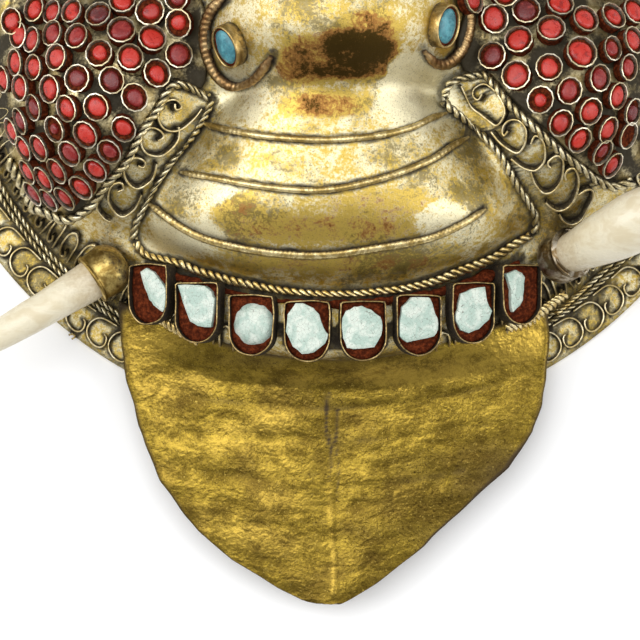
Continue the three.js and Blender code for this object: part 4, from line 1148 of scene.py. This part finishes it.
def tooth_parts(k):
    stand = tooth_stand(k)
    edge = tooth_outline(TOOTH_STRIP_INSET)
    strip = drawn_wire([edge], TOOTH_STRIP / 2, 6, closed=True, stand=TOOTH_CUP_HEIGHT)
    bmesh.ops.translate(strip, vec=(0, 0, TOOTH_CUP_HEIGHT / 2), verts=strip.verts)
    mark_wear_and_shading(strip, lambda place: 0.15 + 0.4 * clamp((place.z - TOOTH_CUP_HEIGHT) * 2 / TOOTH_STRIP))
    for vert in strip.verts:
        sway = 0.35 * MM * noise.noise(Vector((vert.co.x * 160, vert.co.y * 160, k)))
        vert.co.xy *= 1 + sway / TOOTH_HALF
    fill = filled(tooth_outline(TOOTH_LAC_INSET, 1.8 * MM), 0.4 * MM, TOOTH_LAC_LEVEL, 0.8 * MM)
    for vert in fill.verts:
        vert.co.z += 0.5 * MM * noise.noise(Vector((vert.co.x * 300, vert.co.y * 300, k))) * (vert.co.z > MM)
    pixels, across, along = TOOTH_STONES[k]
    crown = ROUND_CROWN if k == ROUND_STONE else TOOTH_CROWN
    flat = stand.inverted()
    draw = random.Random(k)
    top = stand @ Vector((0, 0, TOOTH_CUP_HEIGHT))
    up = stand.to_3x3().col[2]
    outline = []
    for px, py in pixels:
        place = pictured(px, py)
        fall = (up.x * (place.x - top.x) + up.y * (place.y - top.y)) / up.z
        at = flat @ Vector((place.x, place.y, top.z - fall))
        outline.append(within_cup(at, TOOTH_STONE_INSET))
    chipped = []
    for p, q in zip(outline, outline[1:] + outline[:1]):
        chipped += [p, p.lerp(q, 0.5) + Vector((draw.uniform(-1, 1), draw.uniform(-1, 1))) * 0.2 * MM]
    if k == ROUND_STONE:
        middle = sum(outline, Vector((0, 0))) / len(outline)
        chipped = [middle + p for p in oval(TOOTH_HALF - 0.9 * MM, TOOTH_HALF - 0.7 * MM, 36)]
    stone = filled(chipped, TOOTH_STONE_FOOT, TOOTH_STONE_TOP - crown * 0.85, crown)
    hinge = Matrix.Translation((0, 0, TOOTH_LEAN_AT))
    lean = hinge @ Matrix.Rotation(across, 4, "Y") @ Matrix.Rotation(along, 4, "X")
    bmesh.ops.transform(stone, matrix=lean @ hinge.inverted(), verts=stone.verts)
    for bm in (strip, fill, stone):
        bmesh.ops.transform(bm, matrix=stand, verts=bm.verts)
    return strip, fill, stone


def pale_stone_finish():
    f = Finish("pale_stone", 0.0, 0.32)
    cloud = f.noise(5 * MM, 5, 0.6, 0.6)
    grain = f.noise(1.2 * MM, 4, 0.65)
    crack = f.plus(f.cracks(6.5 * MM), grain, 0.12)
    color = f.blend(f.between(cloud, 0.4, 0.65), (0.38, 0.5, 0.43), (0.62, 0.68, 0.6))
    color = f.blend(f.between(grain, 0.62, 0.74, 0, 0.7), color, (0.22, 0.17, 0.1))
    color = f.blend(f.between(crack, 0.085, 0.06, 0, 0.75), color, (0.08, 0.06, 0.04))
    rough = f.between(grain, 0.3, 0.7, 0.25, 0.5)
    return f.done(color, rough, normal=f.bump(grain, 0.25 * MM))


brass = silvered_finish(
    "worn_brass_strip", (0.62, 0.46, 0.2), (0.34, 0.23, 0.08), (0.02, 0.014, 0.008), (0.11, 0.085, 0.04)
)
pale_stone = pale_stone_finish()
for k in range(TOOTH_COUNT):
    strip, fill, stone = tooth_parts(k)
    piece = new_piece(f"tooth_strip_{k + 1}", strip, brass)
    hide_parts(f"tooth_cup_{k + 1}")
    new_piece(f"tooth_lac_{k + 1}", fill, lac)
    # The face round each cup is darkened as painted shade in the gaps between and below the cups
    shade_and_grime_lines.append(([tooth_stand(k).translation.xy], 11 * MM))
    piece = new_piece(f"tooth_stone_{k + 1}", stone, pale_stone, smooth=k == ROUND_STONE)
    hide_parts(f"tooth_{k + 1}")

# Lac fills the gap between the lip's wire and the cups, and the face along it is darkened with painted shade
# and dirt
LIP_GAP = ((150, 264), (180, 272), (215, 282), (250, 291), (300, 297), (350, 298), (400, 293), (450, 283),
           (500, 266), (520, 258))
LIP_GAP_FILL = (0.9, 0.9, 0.7, 0.2, 0.6, 0.8, 0.85, 0.9, 1.0, 1.15, 0.9)
LIP_GAP_DROP = 6


def spilled_lac():
    """Lac squeezed out over the cups' upper edges, in lumps."""
    line = pixel_line([(px, py + LIP_GAP_DROP) for px, py in LIP_GAP], 0.7 * MM, 3 * MM)
    points, widths = [], []
    for k, place in enumerate(line):
        at = k / (len(line) - 1) * (len(LIP_GAP_FILL) - 1)
        after = min(int(at) + 1, len(LIP_GAP_FILL) - 1)
        full = mix(LIP_GAP_FILL[int(at)], LIP_GAP_FILL[after], at - int(at))
        widths.append(full * (1.9 + 1.1 * noise.noise(Vector((place.x * 260, place.y * 260, 2)))))
        points.append(Vector((place.x, place.y, 2.6 * MM)))
    bm = drawn_wire([points], 1 * MM, 14, widths=widths)
    for vert in bm.verts:
        vert.co += vert.normal * 0.7 * MM * noise.noise(vert.co * 420)
    return wrapped(bm)


new_piece("lac_over_teeth", spilled_lac(), lac)
shade_and_grime_lines.append((pixel_line(LIP_GAP, 1.5 * MM), 1.6 * MM))

# Loose ends of twisted wire under the row of teeth, and a grain of brass beside the right socket.
# Each end has its line by the photograph's pixels, its radius and how far it stands off the face.
SHORT_WIRES = (
    (((141, 303), (158, 316), (178, 329), (199, 340)), 0.95 * MM, 7 * MM),
    (((505, 327), (524, 319), (543, 307), (564, 292)), 0.95 * MM, 8 * MM),
    (((556, 314), (572, 300), (588, 285)), 0.95 * MM, 1 * MM),
    (((69, 335), (73, 334), (75, 337), (72, 339)), 0.45 * MM, 1 * MM),
)
GRAIN = (532, 287)
GRAIN_RADIUS = 1.6 * MM
ends = []
for pixels, radius, lift in SHORT_WIRES:
    ends.append(twisted(pixel_line(pixels, 0.6 * MM, lift), radius, 3.8 * radius, lift))
new_piece("loose_wires", joined(ends), bright_gilt)
grain = bmesh.new()
grain_place = seen(*GRAIN)
bmesh.ops.create_icosphere(
    grain, subdivisions=3, radius=GRAIN_RADIUS, matrix=Matrix.Translation(on_face(*grain_place, GRAIN_RADIUS))
)
mark_wear_and_shading(grain, lambda place: 0.9)
new_piece("grain", grain, brass)

# The tusks: two old horns of bone, worn smooth and a little cracked, each set in a socket of brass sheet
# that was raised to a cup, rolled over at its mouth and soldered to the corner of the mouth.
HORN_LINES = {
    "left": ((-0.5156, -0.628, 0.158), (-0.7152, -0.7609, 0.205), (-0.987, -0.897, 0.179)),
    "right": ((0.5178, -0.61, 0.162), (0.6358, -0.5656, 0.37), (0.987, -0.358, 0.49)),
}
HORN_ROOTS = {"left": 0.049 * RIM, "right": 0.0437 * RIM}
HORN_BELLIES = {"left": 0.0404 * RIM, "right": 0.0702 * RIM}
HORN_TIP = 1.4 * MM
HORN_BELLY_AT = 0.42
HORN_FOOT = 2 * MM
HORN_TIP_ROUND = 2.2 * MM
HORN_TIP_GAP = 0.2 * MM
HORN_SLACK = 0.985
HORN_RINGS = 72
HORN_SAMPLES = 200
SOCKET_LENGTH = 0.06 * RIM
SOCKET_BACK = 0.0265 * RIM
SOCKET_SHEET = 1.1 * MM
HORN_GAP = 0.6 * MM


def horn_point(side, share):
    a, b, c = (Vector((CENTRE.x + p[0] * RIM, CENTRE.y + p[1] * RIM, p[2] * RIM)) for p in HORN_LINES[side])
    return a * (1 - share) ** 2 + b * 2 * share * (1 - share) + c * share**2


def horn_lengths(side):
    points = [horn_point(side, k / HORN_SAMPLES) for k in range(HORN_SAMPLES + 1)]
    walked = [0.0]
    for p, q in zip(points, points[1:]):
        walked.append(walked[-1] + (q - p).length)
    return points, walked


def along_horn(side, distance):
    points, walked = horn_lengths(side)
    if distance <= 0:
        return points[0] + (points[0] - points[1]).normalized() * -distance
    for k in range(len(points) - 1):
        if walked[k + 1] >= distance:
            return points[k].lerp(points[k + 1], (distance - walked[k]) / (walked[k + 1] - walked[k]))
    return points[-1]


def horn_radius(side, share):
    swell = ease(share / HORN_BELLY_AT)
    taper = math.sqrt(clamp((1 - share) / (1 - HORN_BELLY_AT)))
    return HORN_TIP + (mix(HORN_ROOTS[side], HORN_BELLIES[side], swell) - HORN_TIP) * min(1, taper)


def horn(side):
    length = horn_lengths(side)[1][-1]
    points, widths = [], []
    for k in range(HORN_RINGS + 1):
        distance = mix(HORN_FOOT, length - HORN_TIP_GAP, k / HORN_RINGS)
        tip = math.sqrt(clamp((length - distance) / HORN_TIP_ROUND))
        points.append(along_horn(side, distance))
        widths.append(horn_radius(side, distance / length) * min(1, tip) / MM * HORN_SLACK)
    bm = drawn_wire([points], 1 * MM, 32, widths=widths)
    root = along_horn(side, SOCKET_LENGTH)
    layer = bm.verts.layers.float.new("wear_and_shading")
    for vert in bm.verts:
        axis_share = (vert.co - root).length / length
        vert[layer] = clamp(axis_share * 2.2 + 0.25)
        vert.co += vert.normal * 0.18 * MM * noise.noise(vert.co * 90)
    return bm


def socket(side):
    length = horn_lengths(side)[1][-1]
    mouth = horn_radius(side, SOCKET_LENGTH / length) + HORN_GAP + SOCKET_SHEET
    profile = (
        (-1.0, 0.55), (-0.8, 0.7), (-0.4, 0.9), (0.1, 1.04), (0.24, 1.05), (0.5, 1.03), (0.75, 0.99),
        (0.88, 0.98), (0.95, 1.02), (1.0, 1.02),
    )
    points, widths = [], []
    for share, width in profile:
        reach = SOCKET_BACK if share < 0 else SOCKET_LENGTH
        points.append(along_horn(side, share * reach))
        widths.append(mouth * width / MM)
    bm = drawn_wire([points], 1 * MM, 28, widths=widths)
    cap = max(bm.faces, key=lambda face: (len(face.verts), -(face.calc_center_median() - points[-1]).length))
    if (cap.calc_center_median() - points[-1]).length < 2 * MM:
        bmesh.ops.delete(bm, geom=[cap], context="FACES_ONLY")
    layer = bm.verts.layers.float.new("wear_and_shading")
    for vert in bm.verts:
        near = (vert.co - points[-1]).length
        vert[layer] = clamp(0.35 + 0.5 * noise.noise(vert.co * 120) + 0.5 * bell((near - mouth) / (2.5 * MM)))
        vert.co += vert.normal * 0.35 * MM * noise.noise(vert.co * 110)
    # The face round the socket's foot is darkened as painted shade
    shade_and_grime_lines.append(([Vector((points[3].x, points[3].y))], mouth))
    return bm


def bone_finish():
    f = Finish("old_bone", 0.0, 0.3)
    streaks = f.noise(9 * MM, 5, 0.6, 0.4, (1, 2.2, 2.2))
    grain = f.noise(1.1 * MM, 4, 0.6)
    color = f.blend(f.between(streaks, 0.4, 0.66), (0.7, 0.64, 0.48), (0.62, 0.54, 0.37))
    root = f.plus(f.less(1.0, f.attribute("wear_and_shading")), grain, 0.4)
    color = f.blend(f.between(root, 0.5, 1.0, 0, 0.7), color, (0.3, 0.2, 0.09))
    color = f.blend(f.between(grain, 0.68, 0.78, 0, 0.5), color, (0.35, 0.26, 0.14))
    return f.done(color, f.between(streaks, 0.3, 0.7, 0.24, 0.4), normal=f.bump(grain, 0.08 * MM))


bone = bone_finish()
socket_brass = silvered_finish(
    "socket_brass", (0.56, 0.42, 0.14), (0.26, 0.17, 0.045), (0.025, 0.015, 0.007), (0.09, 0.06, 0.02)
)
smoked_brass = silvered_finish(
    "smoked_brass", (0.5, 0.44, 0.34), (0.15, 0.1, 0.045), (0.014, 0.009, 0.005), (0.07, 0.045, 0.02)
)
for side, metal in (("left", socket_brass), ("right", smoked_brass)):
    piece = new_piece(f"horn_{side}", horn(side), bone)
    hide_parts(f"tusk_{side}")
    piece = new_piece(f"horn_socket_{side}", socket(side), metal)
    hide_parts(f"tusk_socket_{side}")
    thickened(piece, SOCKET_SHEET)

# The tongue: a leaf of brass sheet, beaten into shallow wrinkles across and creased down its middle.
# It is bent at the root, where it goes in behind the teeth, and its edge is cut by hand.
TONGUE_SHEET = 1.2 * MM
TONGUE_LENGTH = 107 * MM
TONGUE_ROOT = -0.7086
TONGUE_ROOT_SAG = 0.126
TONGUE_HEIGHTS = {"root": 0.172, "bend": 0.1126, "tip": 0.0795, "sides": 0.0358}
TONGUE_BEND_AT = 0.2
TONGUE_CREASE = 1.2 * MM
TONGUE_CELLS = (110, 130)
TONGUE_EDGES = {
    "left": ((119, 290), (119, 312), (122, 365), (138, 427), (159, 482), (197, 532), (232, 561), (276, 588),
             (302, 601), (332, 608)),
    "right": ((549, 290), (549, 309), (550, 353), (543, 406), (534, 432), (510, 468), (452, 520), (425, 547),
              (376, 585), (352, 600), (334, 608)),
}
# Creases by the photograph's pixels, each with its half width in millimetres, its depth and its darkness,
# which is painted shade along the crease and below nought a painted highlight
TONGUE_CREASES = (
    (((328, 392), (326, 425), (331, 452), (329, 480)), 0.9, -0.35, 0.9),
    (((337, 410), (336, 440), (339, 470), (336, 500)), 0.7, -0.3, 0.8),
    (((330, 470), (331, 520), (334, 565), (333, 592)), 0.8, 0.35, -0.6),
    (((455, 445), (449, 468), (443, 492)), 1.2, 0.25, -0.3),
    (((190, 378), (240, 372), (300, 377), (340, 380), (400, 374), (470, 366), (530, 350)), 5, 0.35, -0.25),
    (((200, 398), (260, 404), (330, 408), (420, 399), (500, 384)), 1.6, -0.25, 0.35),
    (((180, 430), (240, 437), (300, 436)), 1.4, -0.2, 0.3),
    (((360, 440), (430, 432), (490, 424)), 1.5, -0.2, 0.3),
    (((205, 470), (260, 477), (315, 474)), 1.6, -0.2, 0.25),
    (((350, 486), (410, 480), (460, 470)), 1.6, -0.2, 0.25),
    (((240, 520), (290, 524), (325, 520)), 1.5, -0.18, 0.25),
)

# Broad painted light and shade by the photograph's pixels: the middle, half sizes, and how much brighter
TONGUE_PAINTED_LIGHT = (
    ((265, 362), (75, 18), -0.3), ((150, 350), (38, 45), 0.2), ((525, 340), (36, 26), 0.3),
    ((420, 372), (90, 14), 0.16), ((332, 430), (28, 55), -0.2), ((450, 470), (70, 45), -0.18),
    ((215, 470), (60, 60), 0.06), ((440, 545), (40, 34), -0.2), ((330, 318), (230, 10), -0.2),
    ((200, 332), (70, 12), 0.2), ((440, 338), (80, 12), 0.25), ((506, 478), (30, 60), -0.34),
    ((245, 540), (50, 30), 0.15), ((395, 430), (50, 40), 0.12), ((270, 430), (40, 60), 0.12),
)


def edge_at(side, v):
    line = TONGUE_EDGES[side]
    for (u0, v0), (u1, v1) in zip(line, line[1:]):
        if v <= v1:
            return mix(u0, u1, clamp((v - v0) / (v1 - v0)))
    return line[-1][0]


def beaten_tongue():
    trees = [(plan_tree(pixel_line(line, 1.5 * MM)), *rest) for line, *rest in TONGUE_CREASES]
    bm = bmesh.new()
    bmesh.ops.create_grid(bm, x_segments=TONGUE_CELLS[0], y_segments=TONGUE_CELLS[1], size=1)
    layer = bm.verts.layers.float.new("wear_and_shading")
    pixel = RIM / PHOTO_RADIUS
    for vert in bm.verts:
        s, t = vert.co.x, (1 - vert.co.y) / 2
        t = 1 - (1 - t) ** 1.25
        root = TONGUE_ROOT - TONGUE_ROOT_SAG * (1 - s * s) * (1 - t) ** 3
        y = CENTRE.y + RIM * root - TONGUE_LENGTH * t
        v = PHOTO_MIDDLE.y + (CENTRE.y - y) / pixel
        u = mix(edge_at("left", v), edge_at("right", v), (s + 1) / 2)
        ragged = 0.55 * MM * noise.noise(Vector((y * 130, 0, 4 if s < 0 else 8))) * abs(s) ** 8
        x = CENTRE.x + (u - PHOTO_MIDDLE.x) * pixel + ragged
        crown = mix(TONGUE_HEIGHTS["bend"], TONGUE_HEIGHTS["tip"], t)
        rise = TONGUE_HEIGHTS["root"] - TONGUE_HEIGHTS["bend"]
        bend = rise * (1 - ease(t / TONGUE_BEND_AT)) * (1 - s * s)
        sides = TONGUE_HEIGHTS["sides"] * s * s * math.sqrt(1 - t)
        z = RIM * (crown + bend - sides) + TONGUE_SHEET
        creased = ease((t - TONGUE_BEND_AT) / 0.3)
        z -= TONGUE_CREASE * bell((x - CENTRE.x + 1 * MM) / (9 * MM)) * creased * ease((1 - t) / 0.2)
        wrinkle = noise.noise(Vector((x * 26, y * 120, 0))) + 0.6 * noise.noise(Vector((x * 60, y * 200, 5)))
        z += 0.32 * MM * wrinkle * ease(t / 0.1)
        wear_and_shading = 0.74 + 0.2 * noise.noise(Vector((x * 40, y * 80, 9)))
        # Each crease darkens the wear mask along it as painted shade, and brightens it as a painted highlight
        # where its darkness is below nought
        for tree, half, depth, dark in trees:
            away = tree.find(Vector((x, y, 0)))[2] / (half * MM)
            z += depth * MM * bell(away)
            wear_and_shading -= dark * 0.6 * bell(away * 1.2)
        # Broad patches of painted light and shade
        for (px, py), (wide, high), bright in TONGUE_PAINTED_LIGHT:
            wear_and_shading += bright * bell(math.hypot((u - px) / wide, (v - py) / high) * 1.2)
        # Darker along the side edges, and painted shade at the root under the teeth
        wear_and_shading -= 0.5 * ease((abs(s) - 0.965) / 0.035) + 0.55 * ease((0.045 - t) / 0.045)
        vert.co = (x, y, z)
        vert[layer] = clamp(wear_and_shading)
    bmesh.ops.remove_doubles(bm, verts=bm.verts, dist=0.02 * MM)
    bmesh.ops.recalc_face_normals(bm, faces=bm.faces)
    return bm


def tongue_finish():
    f = Finish("tongue_brass", 1.0, 0.38)
    wide = f.noise(26 * MM, 4, 0.6, 0.3)
    patches = f.noise(6 * MM, 6, 0.7, 0.4, (0.75, 1, 1))
    ripples = f.noise(6 * MM, 3, 0.5, 0.4, (0.7, 1, 1))
    hammer = f.noise(1.5 * MM, 2, 0.5, 0.4)
    specks = f.noise(1.1 * MM, 6, 0.78, 0.2)
    fine = f.noise(0.45 * MM, 3, 0.6)
    mixed = f.plus(f.math("MULTIPLY", patches, 0.42), specks, 0.58)
    color = f.blend(f.between(mixed, 0.43, 0.56), (0.13, 0.085, 0.012), (0.42, 0.29, 0.04))
    color = f.blend(f.between(wide, 0.46, 0.64, 0, 0.6), color, (0.12, 0.075, 0.016))
    color = f.blend(f.between(specks, 0.52, 0.62, 0, 0.9), color, (0.05, 0.028, 0.007))
    color = f.blend(f.between(specks, 0.45, 0.33, 0, 0.75), color, (0.6, 0.43, 0.09))
    color = f.blend(f.between(fine, 0.55, 0.66, 0, 0.6), color, (0.05, 0.03, 0.008))
    worn_and_lit = f.attribute("wear_and_shading")
    # Bright gold where the wear mask carries painted light, near black where it carries painted shade and
    # dirt
    gilded_and_lit = f.plus(worn_and_lit, mixed, 1.6, 0.5)
    color = f.blend(f.between(gilded_and_lit, 0.74, 1.08, 0, 0.7), color, (0.55, 0.37, 0.065))
    dirt_and_shade = f.between(f.plus(f.less(1.0, worn_and_lit), patches, 0.5, 0.5), 0.3, 0.9)
    color = f.blend(dirt_and_shade, color, (0.05, 0.03, 0.01))
    rough = f.plus(f.between(mixed, 0.4, 0.6, 0.42, 0.28), dirt_and_shade, 0.3)
    normal = f.bump(hammer, 0.22 * MM, f.bump(ripples, 0.55 * MM))
    return f.done(color, rough, f.less(1.0, dirt_and_shade, 0.5), normal)


tongue = new_piece("beaten_tongue", beaten_tongue(), tongue_finish())
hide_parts("tongue")
thickened(tongue, TONGUE_SHEET)

# Stones in bezels: the nostrils' two turquoises, each with a thick ribbed wire hooked half round it, and
# the third eye on the forehead. A bezel is a strip of sheet soldered round, then pressed on the stone.
# Each stone has its place in shares of the rim's radius, its turn, its half sizes and its bezel's node.
STONES = {
    "nostril_stone_left": (-0.232, -0.12, 0.1, 5.0 * MM, 6.5 * MM, "nostril_bezel_left"),
    "nostril_stone_right": (0.24, -0.078, -0.15, 5.0 * MM, 6.5 * MM, "nostril_bezel_right"),
    "third_eye": (0, 0.66, 0, 6.5 * MM, 11 * MM, "third_eye_bezel"),
}
BEZEL_HEIGHT = 4.6 * MM
BEZEL_SHEET = 0.9 * MM
BEZEL_GAP = 0.4 * MM
BEZEL_LAC_LEVEL = 4.1 * MM
STONE_FOOT = 1.4 * MM
STONE_CROWN = 1.3 * MM


def stone_stand(node, x, y, spin, height):
    """A stone's own frame: its place by the CAD node's box, z along the face's normal."""
    low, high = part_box(node)
    place = from_middle(x, y)
    stand = framed(place.x, place.y, 0)
    up = stand.to_3x3().col[2]
    stand.translation = (low + high) / 2 - up * height / 2
    return stand @ Matrix.Rotation(spin, 4, "Z")


def turquoise_finish():
    f = Finish("turquoise", 0.0, 0.3)
    cloud = f.noise(4 * MM, 5, 0.6, 0.5)
    grain = f.noise(1 * MM, 4, 0.65)
    color = f.blend(f.between(cloud, 0.4, 0.64), (0.035, 0.16, 0.2), (0.1, 0.33, 0.38))
    color = f.blend(f.between(grain, 0.62, 0.72, 0, 0.8), color, (0.08, 0.07, 0.035))
    return f.done(color, f.between(grain, 0.3, 0.7, 0.22, 0.4), normal=f.bump(grain, 0.12 * MM))


turquoise = turquoise_finish()
for name, (x, y, spin, wide, high, bezel) in STONES.items():
    stand = stone_stand(bezel, x, y, spin, BEZEL_HEIGHT)
    rim = BEZEL_GAP + BEZEL_SHEET / 2
    edge = oval(wide + rim, high + rim, 36)
    strip = drawn_wire([edge], BEZEL_SHEET / 2, 6, closed=True, stand=BEZEL_HEIGHT)
    bmesh.ops.translate(strip, vec=(0, 0, BEZEL_HEIGHT / 2), verts=strip.verts)
    mark_wear_and_shading(strip, lambda place: 0.25 + 0.85 * ease(place.z / BEZEL_HEIGHT - 0.1) ** 3)
    stone = filled(oval(wide * 0.97, high * 0.97, 28), STONE_FOOT, BEZEL_HEIGHT - 0.4 * MM, STONE_CROWN)
    for vert in stone.verts:
        vert.co.z += 0.3 * MM * noise.noise(vert.co * 220) * (vert.co.z > BEZEL_HEIGHT - 1 * MM)
    fill = filled(oval(wide + BEZEL_GAP, high + BEZEL_GAP, 28), 0.4 * MM, BEZEL_LAC_LEVEL, 0.2 * MM)
    for bm in (strip, stone, fill):
        bmesh.ops.transform(bm, matrix=stand, verts=bm.verts)
    new_piece(f"{bezel}_lac", fill, lac)
    piece = new_piece(f"{bezel}_strip", strip, brass)
    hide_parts(bezel)
    piece = new_piece(f"{name}_cut", stone, turquoise)
    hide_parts(name)

HOOKS = {
    "left": ((227, -2), (216, 8), (209, 22), (207, 42), (211, 62), (221, 78), (238, 86), (257, 77),
             (273, 55)),
    "right": ((459, 0), (466, 12), (467, 28), (460, 48), (448, 61), (434, 62), (422, 50)),
}
HOOK_RADIUS = 1.7 * MM
HOOK_BEAD = 1.9 * MM
hook_copper = silvered_finish(
    "hook_copper", (0.52, 0.36, 0.17), (0.26, 0.15, 0.06), (0.03, 0.014, 0.006), (0.13, 0.06, 0.022)
)
for side, pixels in HOOKS.items():
    hook = ribbed(pixel_line(pixels, RIB_STEP), HOOK_RADIUS, 0.3 * MM, HOOK_BEAD)
    piece = new_piece(f"nostril_hook_{side}", hook, hook_copper)
    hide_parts(f"nostril_wire_{side}")

# The eyes: domed white stones with a dark disc of jet for the pupil, each in a ring of twisted wire.
# They lie beyond the photograph's edge, so they are plain.
EYE_AT = (0.3, 0.28)
EYE_RADIUS = 16 * MM
EYE_CROWN = 8 * MM
EYE_LIFT = 1.3 * MM
EYE_FOOT_ROW = math.radians(7.5)
EYE_FOOT_GAP = 0.3 * MM
PUPIL_RADIUS = 6.5 * MM
PUPIL_CROWN = 2.1 * MM
PUPIL_SINK = 0.75 * MM
EYE_SLACK = 0.98
EYE_ROPE_GAP = 1.6 * MM
EYE_ROPE_RADIUS = 1.4 * MM
EYE_ROPE_PITCH = 5.6 * MM
EYE_ROPE_LIFT = 0.3 * MM
jet_material = Finish("jet", 0.0, 0.2)
jet_cloud = jet_material.noise(3 * MM)
jet = jet_material.done(jet_material.blend(jet_cloud, (0.012, 0.01, 0.009), (0.03, 0.025, 0.02)))


def capped_dome(radius, crown, sink):
    """A dome with its foot cut off flat at the given depth under its widest ring."""
    bm = bmesh.new()
    bmesh.ops.create_uvsphere(bm, u_segments=40, v_segments=24, radius=1)
    bmesh.ops.scale(bm, vec=(radius, radius, crown), verts=bm.verts)
    everything = bm.verts[:] + bm.edges[:] + bm.faces[:]
    cut = bmesh.ops.bisect_plane(
        bm, geom=everything, plane_co=(0, 0, -sink), plane_no=(0, 0, -1), clear_outer=True
    )
    rim = [item for item in cut["geom_cut"] if isinstance(item, bmesh.types.BMEdge)]
    bmesh.ops.contextual_create(bm, geom=rim)
    return bm


def seated_dome(radius, crown, stand):
    """A dome on an upright edge, its underside cut to the face that it stands on."""
    bm = bmesh.new()
    bmesh.ops.create_uvsphere(bm, u_segments=40, v_segments=24, radius=1)
    for vert in bm.verts:
        below = math.asin(clamp(-vert.co.z))
        if below < EYE_FOOT_ROW / 2:
            up = max(0, vert.co.z) * crown
            vert.co = stand @ Vector((vert.co.x * radius, vert.co.y * radius, up))
        else:
            reach = radius * min(1, (math.tau / 4 - below) / (math.tau / 4 - EYE_FOOT_ROW))
            place = stand @ (vert.co.xy.normalized() * reach).to_3d()
            vert.co = on_face(place.x, place.y, EYE_FOOT_GAP)
    return bm


for name, side in (("left", -1), ("right", 1)):
    middle = from_middle(side * EYE_AT[0], EYE_AT[1])
    stand = framed(middle.x, middle.y, EYE_LIFT)
    eye = seated_dome(EYE_RADIUS * EYE_SLACK, EYE_CROWN, stand)
    pupil = capped_dome(PUPIL_RADIUS, PUPIL_CROWN, 0.1 * MM)
    up = Matrix.Translation((0, 0, EYE_CROWN - PUPIL_SINK))
    bmesh.ops.transform(pupil, matrix=stand @ up, verts=pupil.verts)
    piece = new_piece(f"eye_stone_{name}", eye, pale_stone)
    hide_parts(f"eye_{name}")
    piece = new_piece(f"pupil_stone_{name}", pupil, jet)
    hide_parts(f"pupil_{name}")
    ring = [middle + p for p in oval(EYE_RADIUS + EYE_ROPE_GAP, EYE_RADIUS + EYE_ROPE_GAP, 120)]
    rope = twisted(ring, EYE_ROPE_RADIUS, EYE_ROPE_PITCH, EYE_ROPE_LIFT, True)
    new_piece(f"eye_twist_{name}", rope, silvered)

# The shell itself, once the lines of painted shade and grime on it are known
SHADE_AND_GRIME_REACH = 1.3 * MM


def shaded_and_grimed(bm, lines):
    """Darkens a sheet beside the wires that stand on it, as painted shade and grime."""
    places = [(p, reach) for line, reach in lines for p in line]
    tree = plan_tree([p for p, _ in places])
    layer = bm.verts.layers.float.new("wear_and_shading")
    for vert in bm.verts:
        _, k, away = tree.find(Vector((vert.co.x, vert.co.y, 0)))
        vert[layer] = 1 - 0.85 * bell(max(0, away - places[k][1]) / SHADE_AND_GRIME_REACH)


shell = beaten_shell()
shaded_and_grimed(shell, shade_and_grime_lines)
shell_piece = new_piece("beaten_face", shell, gilt)
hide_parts("mask_shell")
thickened(shell_piece, SHEET)

# The photographer's table and lights: a plain white floor under three large soft lights.
floor_mesh = bmesh.new()
bmesh.ops.create_grid(floor_mesh, x_segments=1, y_segments=1, size=3)
mesh = bpy.data.meshes.new("floor")
floor_mesh.to_mesh(mesh)
floor_mesh.free()
floor = bpy.data.objects.new("floor", mesh)
bpy.context.scene.collection.objects.link(floor)
paper = Finish("white_paper", 0.0, 0.9)
mesh.materials.append(paper.done(paper.blend(paper.noise(0.8), (0.93, 0.93, 0.93), (0.96, 0.96, 0.96))))


def soft_light(name, place, size, power):
    data = bpy.data.lights.new(name, "AREA")
    data.shape = "SQUARE"
    data.size = size
    data.energy = power
    light = bpy.data.objects.new(name, data)
    light.location = place
    light.rotation_euler = (Vector((0, 0, 0)) - Vector(place)).to_track_quat("-Z", "Y").to_euler()
    light.visible_camera = False
    bpy.context.scene.collection.objects.link(light)


soft_light("overhead", (-0.25, 0.35, 1.6), 1.5, 16)
soft_light("left", (-1.4, 0.2, 1.0), 1.2, 15)
soft_light("right", (1.4, -0.1, 1.0), 1.2, 13)

SKY_STRENGTH = 0.47
world = bpy.data.worlds.new("studio")
world.use_nodes = True
sky = world.node_tree.nodes["Background"].inputs
sky["Color"].default_value = (1, 1, 1, 1)
sky["Strength"].default_value = SKY_STRENGTH
bpy.context.scene.world = world

PHOTO_WIDTH = 640 * RIM / PHOTO_RADIUS
camera_data = bpy.data.cameras.new("camera")
camera_data.sensor_width = 36
camera_data.lens = camera_data.sensor_width * (CAMERA_HEIGHT - FACE_LEVEL) / PHOTO_WIDTH
camera = bpy.data.objects.new("camera", camera_data)
camera.location = (PHOTO_CENTRE.x, PHOTO_CENTRE.y, CAMERA_HEIGHT)
bpy.context.scene.collection.objects.link(camera)
bpy.context.scene.camera = camera

bpy.context.scene.view_settings.view_transform = "Standard"
